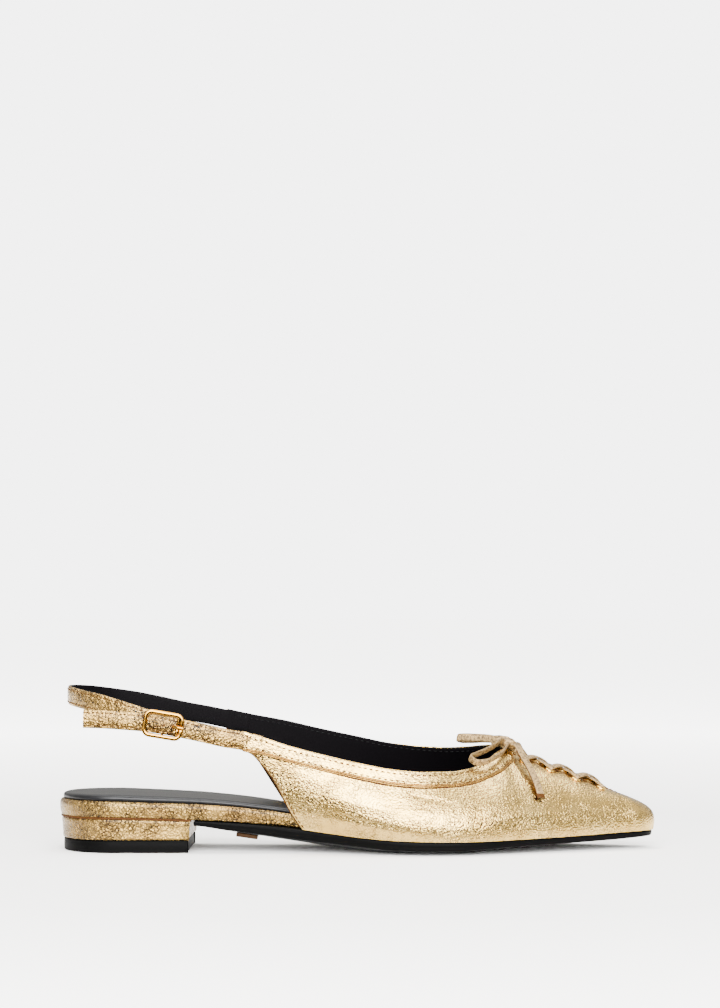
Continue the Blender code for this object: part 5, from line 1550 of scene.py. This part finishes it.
def route(points, way):
    """Rows of a route given in millimetres, with one width direction."""
    points = np.array(points) * MM
    return np.column_stack([points, np.tile(way, (len(points), 1))])


def bow_half(side, loop, tail, loop_way, tail_way):
    """Eyelet, knot, loop, knot and tail as one route."""
    place, up = places[side, 0]
    start = np.column_stack([[place - up * 0.7 * MM, place + up * 0.8 * MM,
                              place + up * 1.6 * MM + np.array([-1.5, -side * 1.2, 0.8]) * MM],
                             np.tile(tail_way, (3, 1))])
    into = route([(201.5, side * 1.6, 45.4), (198.6, side * 0.6, 46.2)], loop_way)
    out_of = route([(200.6, side * 2.6, 46.0)], tail_way)
    return np.concatenate([start, into, route(loop, loop_way), out_of, route(tail, tail_way)])


ENDS = {
    "outer": bow_half(-1, LOOP_OUTER, TAIL_OUTER, (0.25, -0.62, 0.74), (0.84, 0.55, 0.0)),
    "inner": bow_half(1, LOOP_INNER, TAIL_INNER, (0.20, 0.35, 0.90), (0.84, -0.55, 0.0)),
}
print("bow routes of", [len(rows) for rows in ENDS.values()], "points")

# %% [markdown]
# Each end is one ribbon along its route. The tail on the near side gets a dark tip, and a dark
# cord along one edge that is a painted shadow beside the tail.

# %% Free ends of the lace
SHADOW_EDGE_FROM, SHADOW_EDGE_COLUMN = 172, 10
ribbons = {part: lace_ribbon(rows, 230) for part, rows in ENDS.items()}


def lace_end(part):
    """One end of the lace as a piece, with its path and the sum of the path's steps."""
    sections, path, uv = ribbons[part]
    cord = make_piece("lace_end_" + part, *loft(sections), LACE, "gold_lace",
                      ("bow_loop_" + part, "bow_tail_" + part), 60, uv=uv)
    length = float(np.linalg.norm(np.diff(path, axis=0), axis=1).sum())
    print("lace_end_" + part, "length", round(length, 4))
    return cord, path, length


outer_end = lace_end("outer")
sections, path, uv = ribbons["outer"]
tip = sections[-5:] + (sections[-5:] - path[-5:, None]) * 0.12
# Dark cord along one edge of the tail: a painted shadow
edge = sections[SHADOW_EDGE_FROM:-1, SHADOW_EDGE_COLUMN]
edge_line = cord_sections(edge, unit(edge - path[SHADOW_EDGE_FROM:-1]), 0.28 * MM)
verts, faces = many_lofts([loft(tip), loft(edge_line)])
make_piece("dark_lace_tip_and_painted_shadow", verts, faces, DYE_AND_PAINTED_SHADE, "gold_lace", (), 60)
inner_end = lace_end("inner")

# %% [markdown]
# The knot is a short fat cord with two dents, where the lace is wrapped round itself.

# %% Knot
knot_path = resample(np.array(KNOT) * MM, 60)
t = np.linspace(0, 1, 60)[:, None]
angle = np.linspace(0, 2 * math.pi, 40, endpoint=False)[None, :]
across = unit(np.cross(path_tangent(knot_path), [0, 0, 1.0]))
wrap = 0.25 * np.exp(-((t - 0.36 - 0.05 * np.sin(angle)) / 0.035) ** 2)
wrap = wrap + 0.25 * np.exp(-((t - 0.70 + 0.06 * np.sin(angle + 1)) / 0.035) ** 2)
swell = (2.25 * np.sin(math.pi * (0.12 + 0.76 * t)) ** 0.5 - wrap
         + 0.12 * np.sin(3 * angle + 7 * t)) * MM
knot = carry(knot_path, across, np.cross(across, path_tangent(knot_path)),
             swell * np.cos(angle), swell * np.sin(angle))
knot_uv = np.stack([np.broadcast_to(angle * 2 * MM, (60, 40)),
                    np.broadcast_to(t * 11 * MM, (60, 40))], axis=-1).reshape(-1, 2)
knot_piece = make_piece("lace_knot", *loft(knot), LACE, "gold_lace", ("bow_knot",), 60, uv=knot_uv)

# %% [markdown]
# ## Waist plate
#
# The small plate under the waist is plain metal. Its solid has the right shape already, so it only
# takes a material.

# %% Waist plate
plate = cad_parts["waist_plate"]
plate.data.materials.clear()
plate.data.materials.append(DARK_PLATE_METAL)
print("waist plate in", DARK_PLATE_METAL.name)
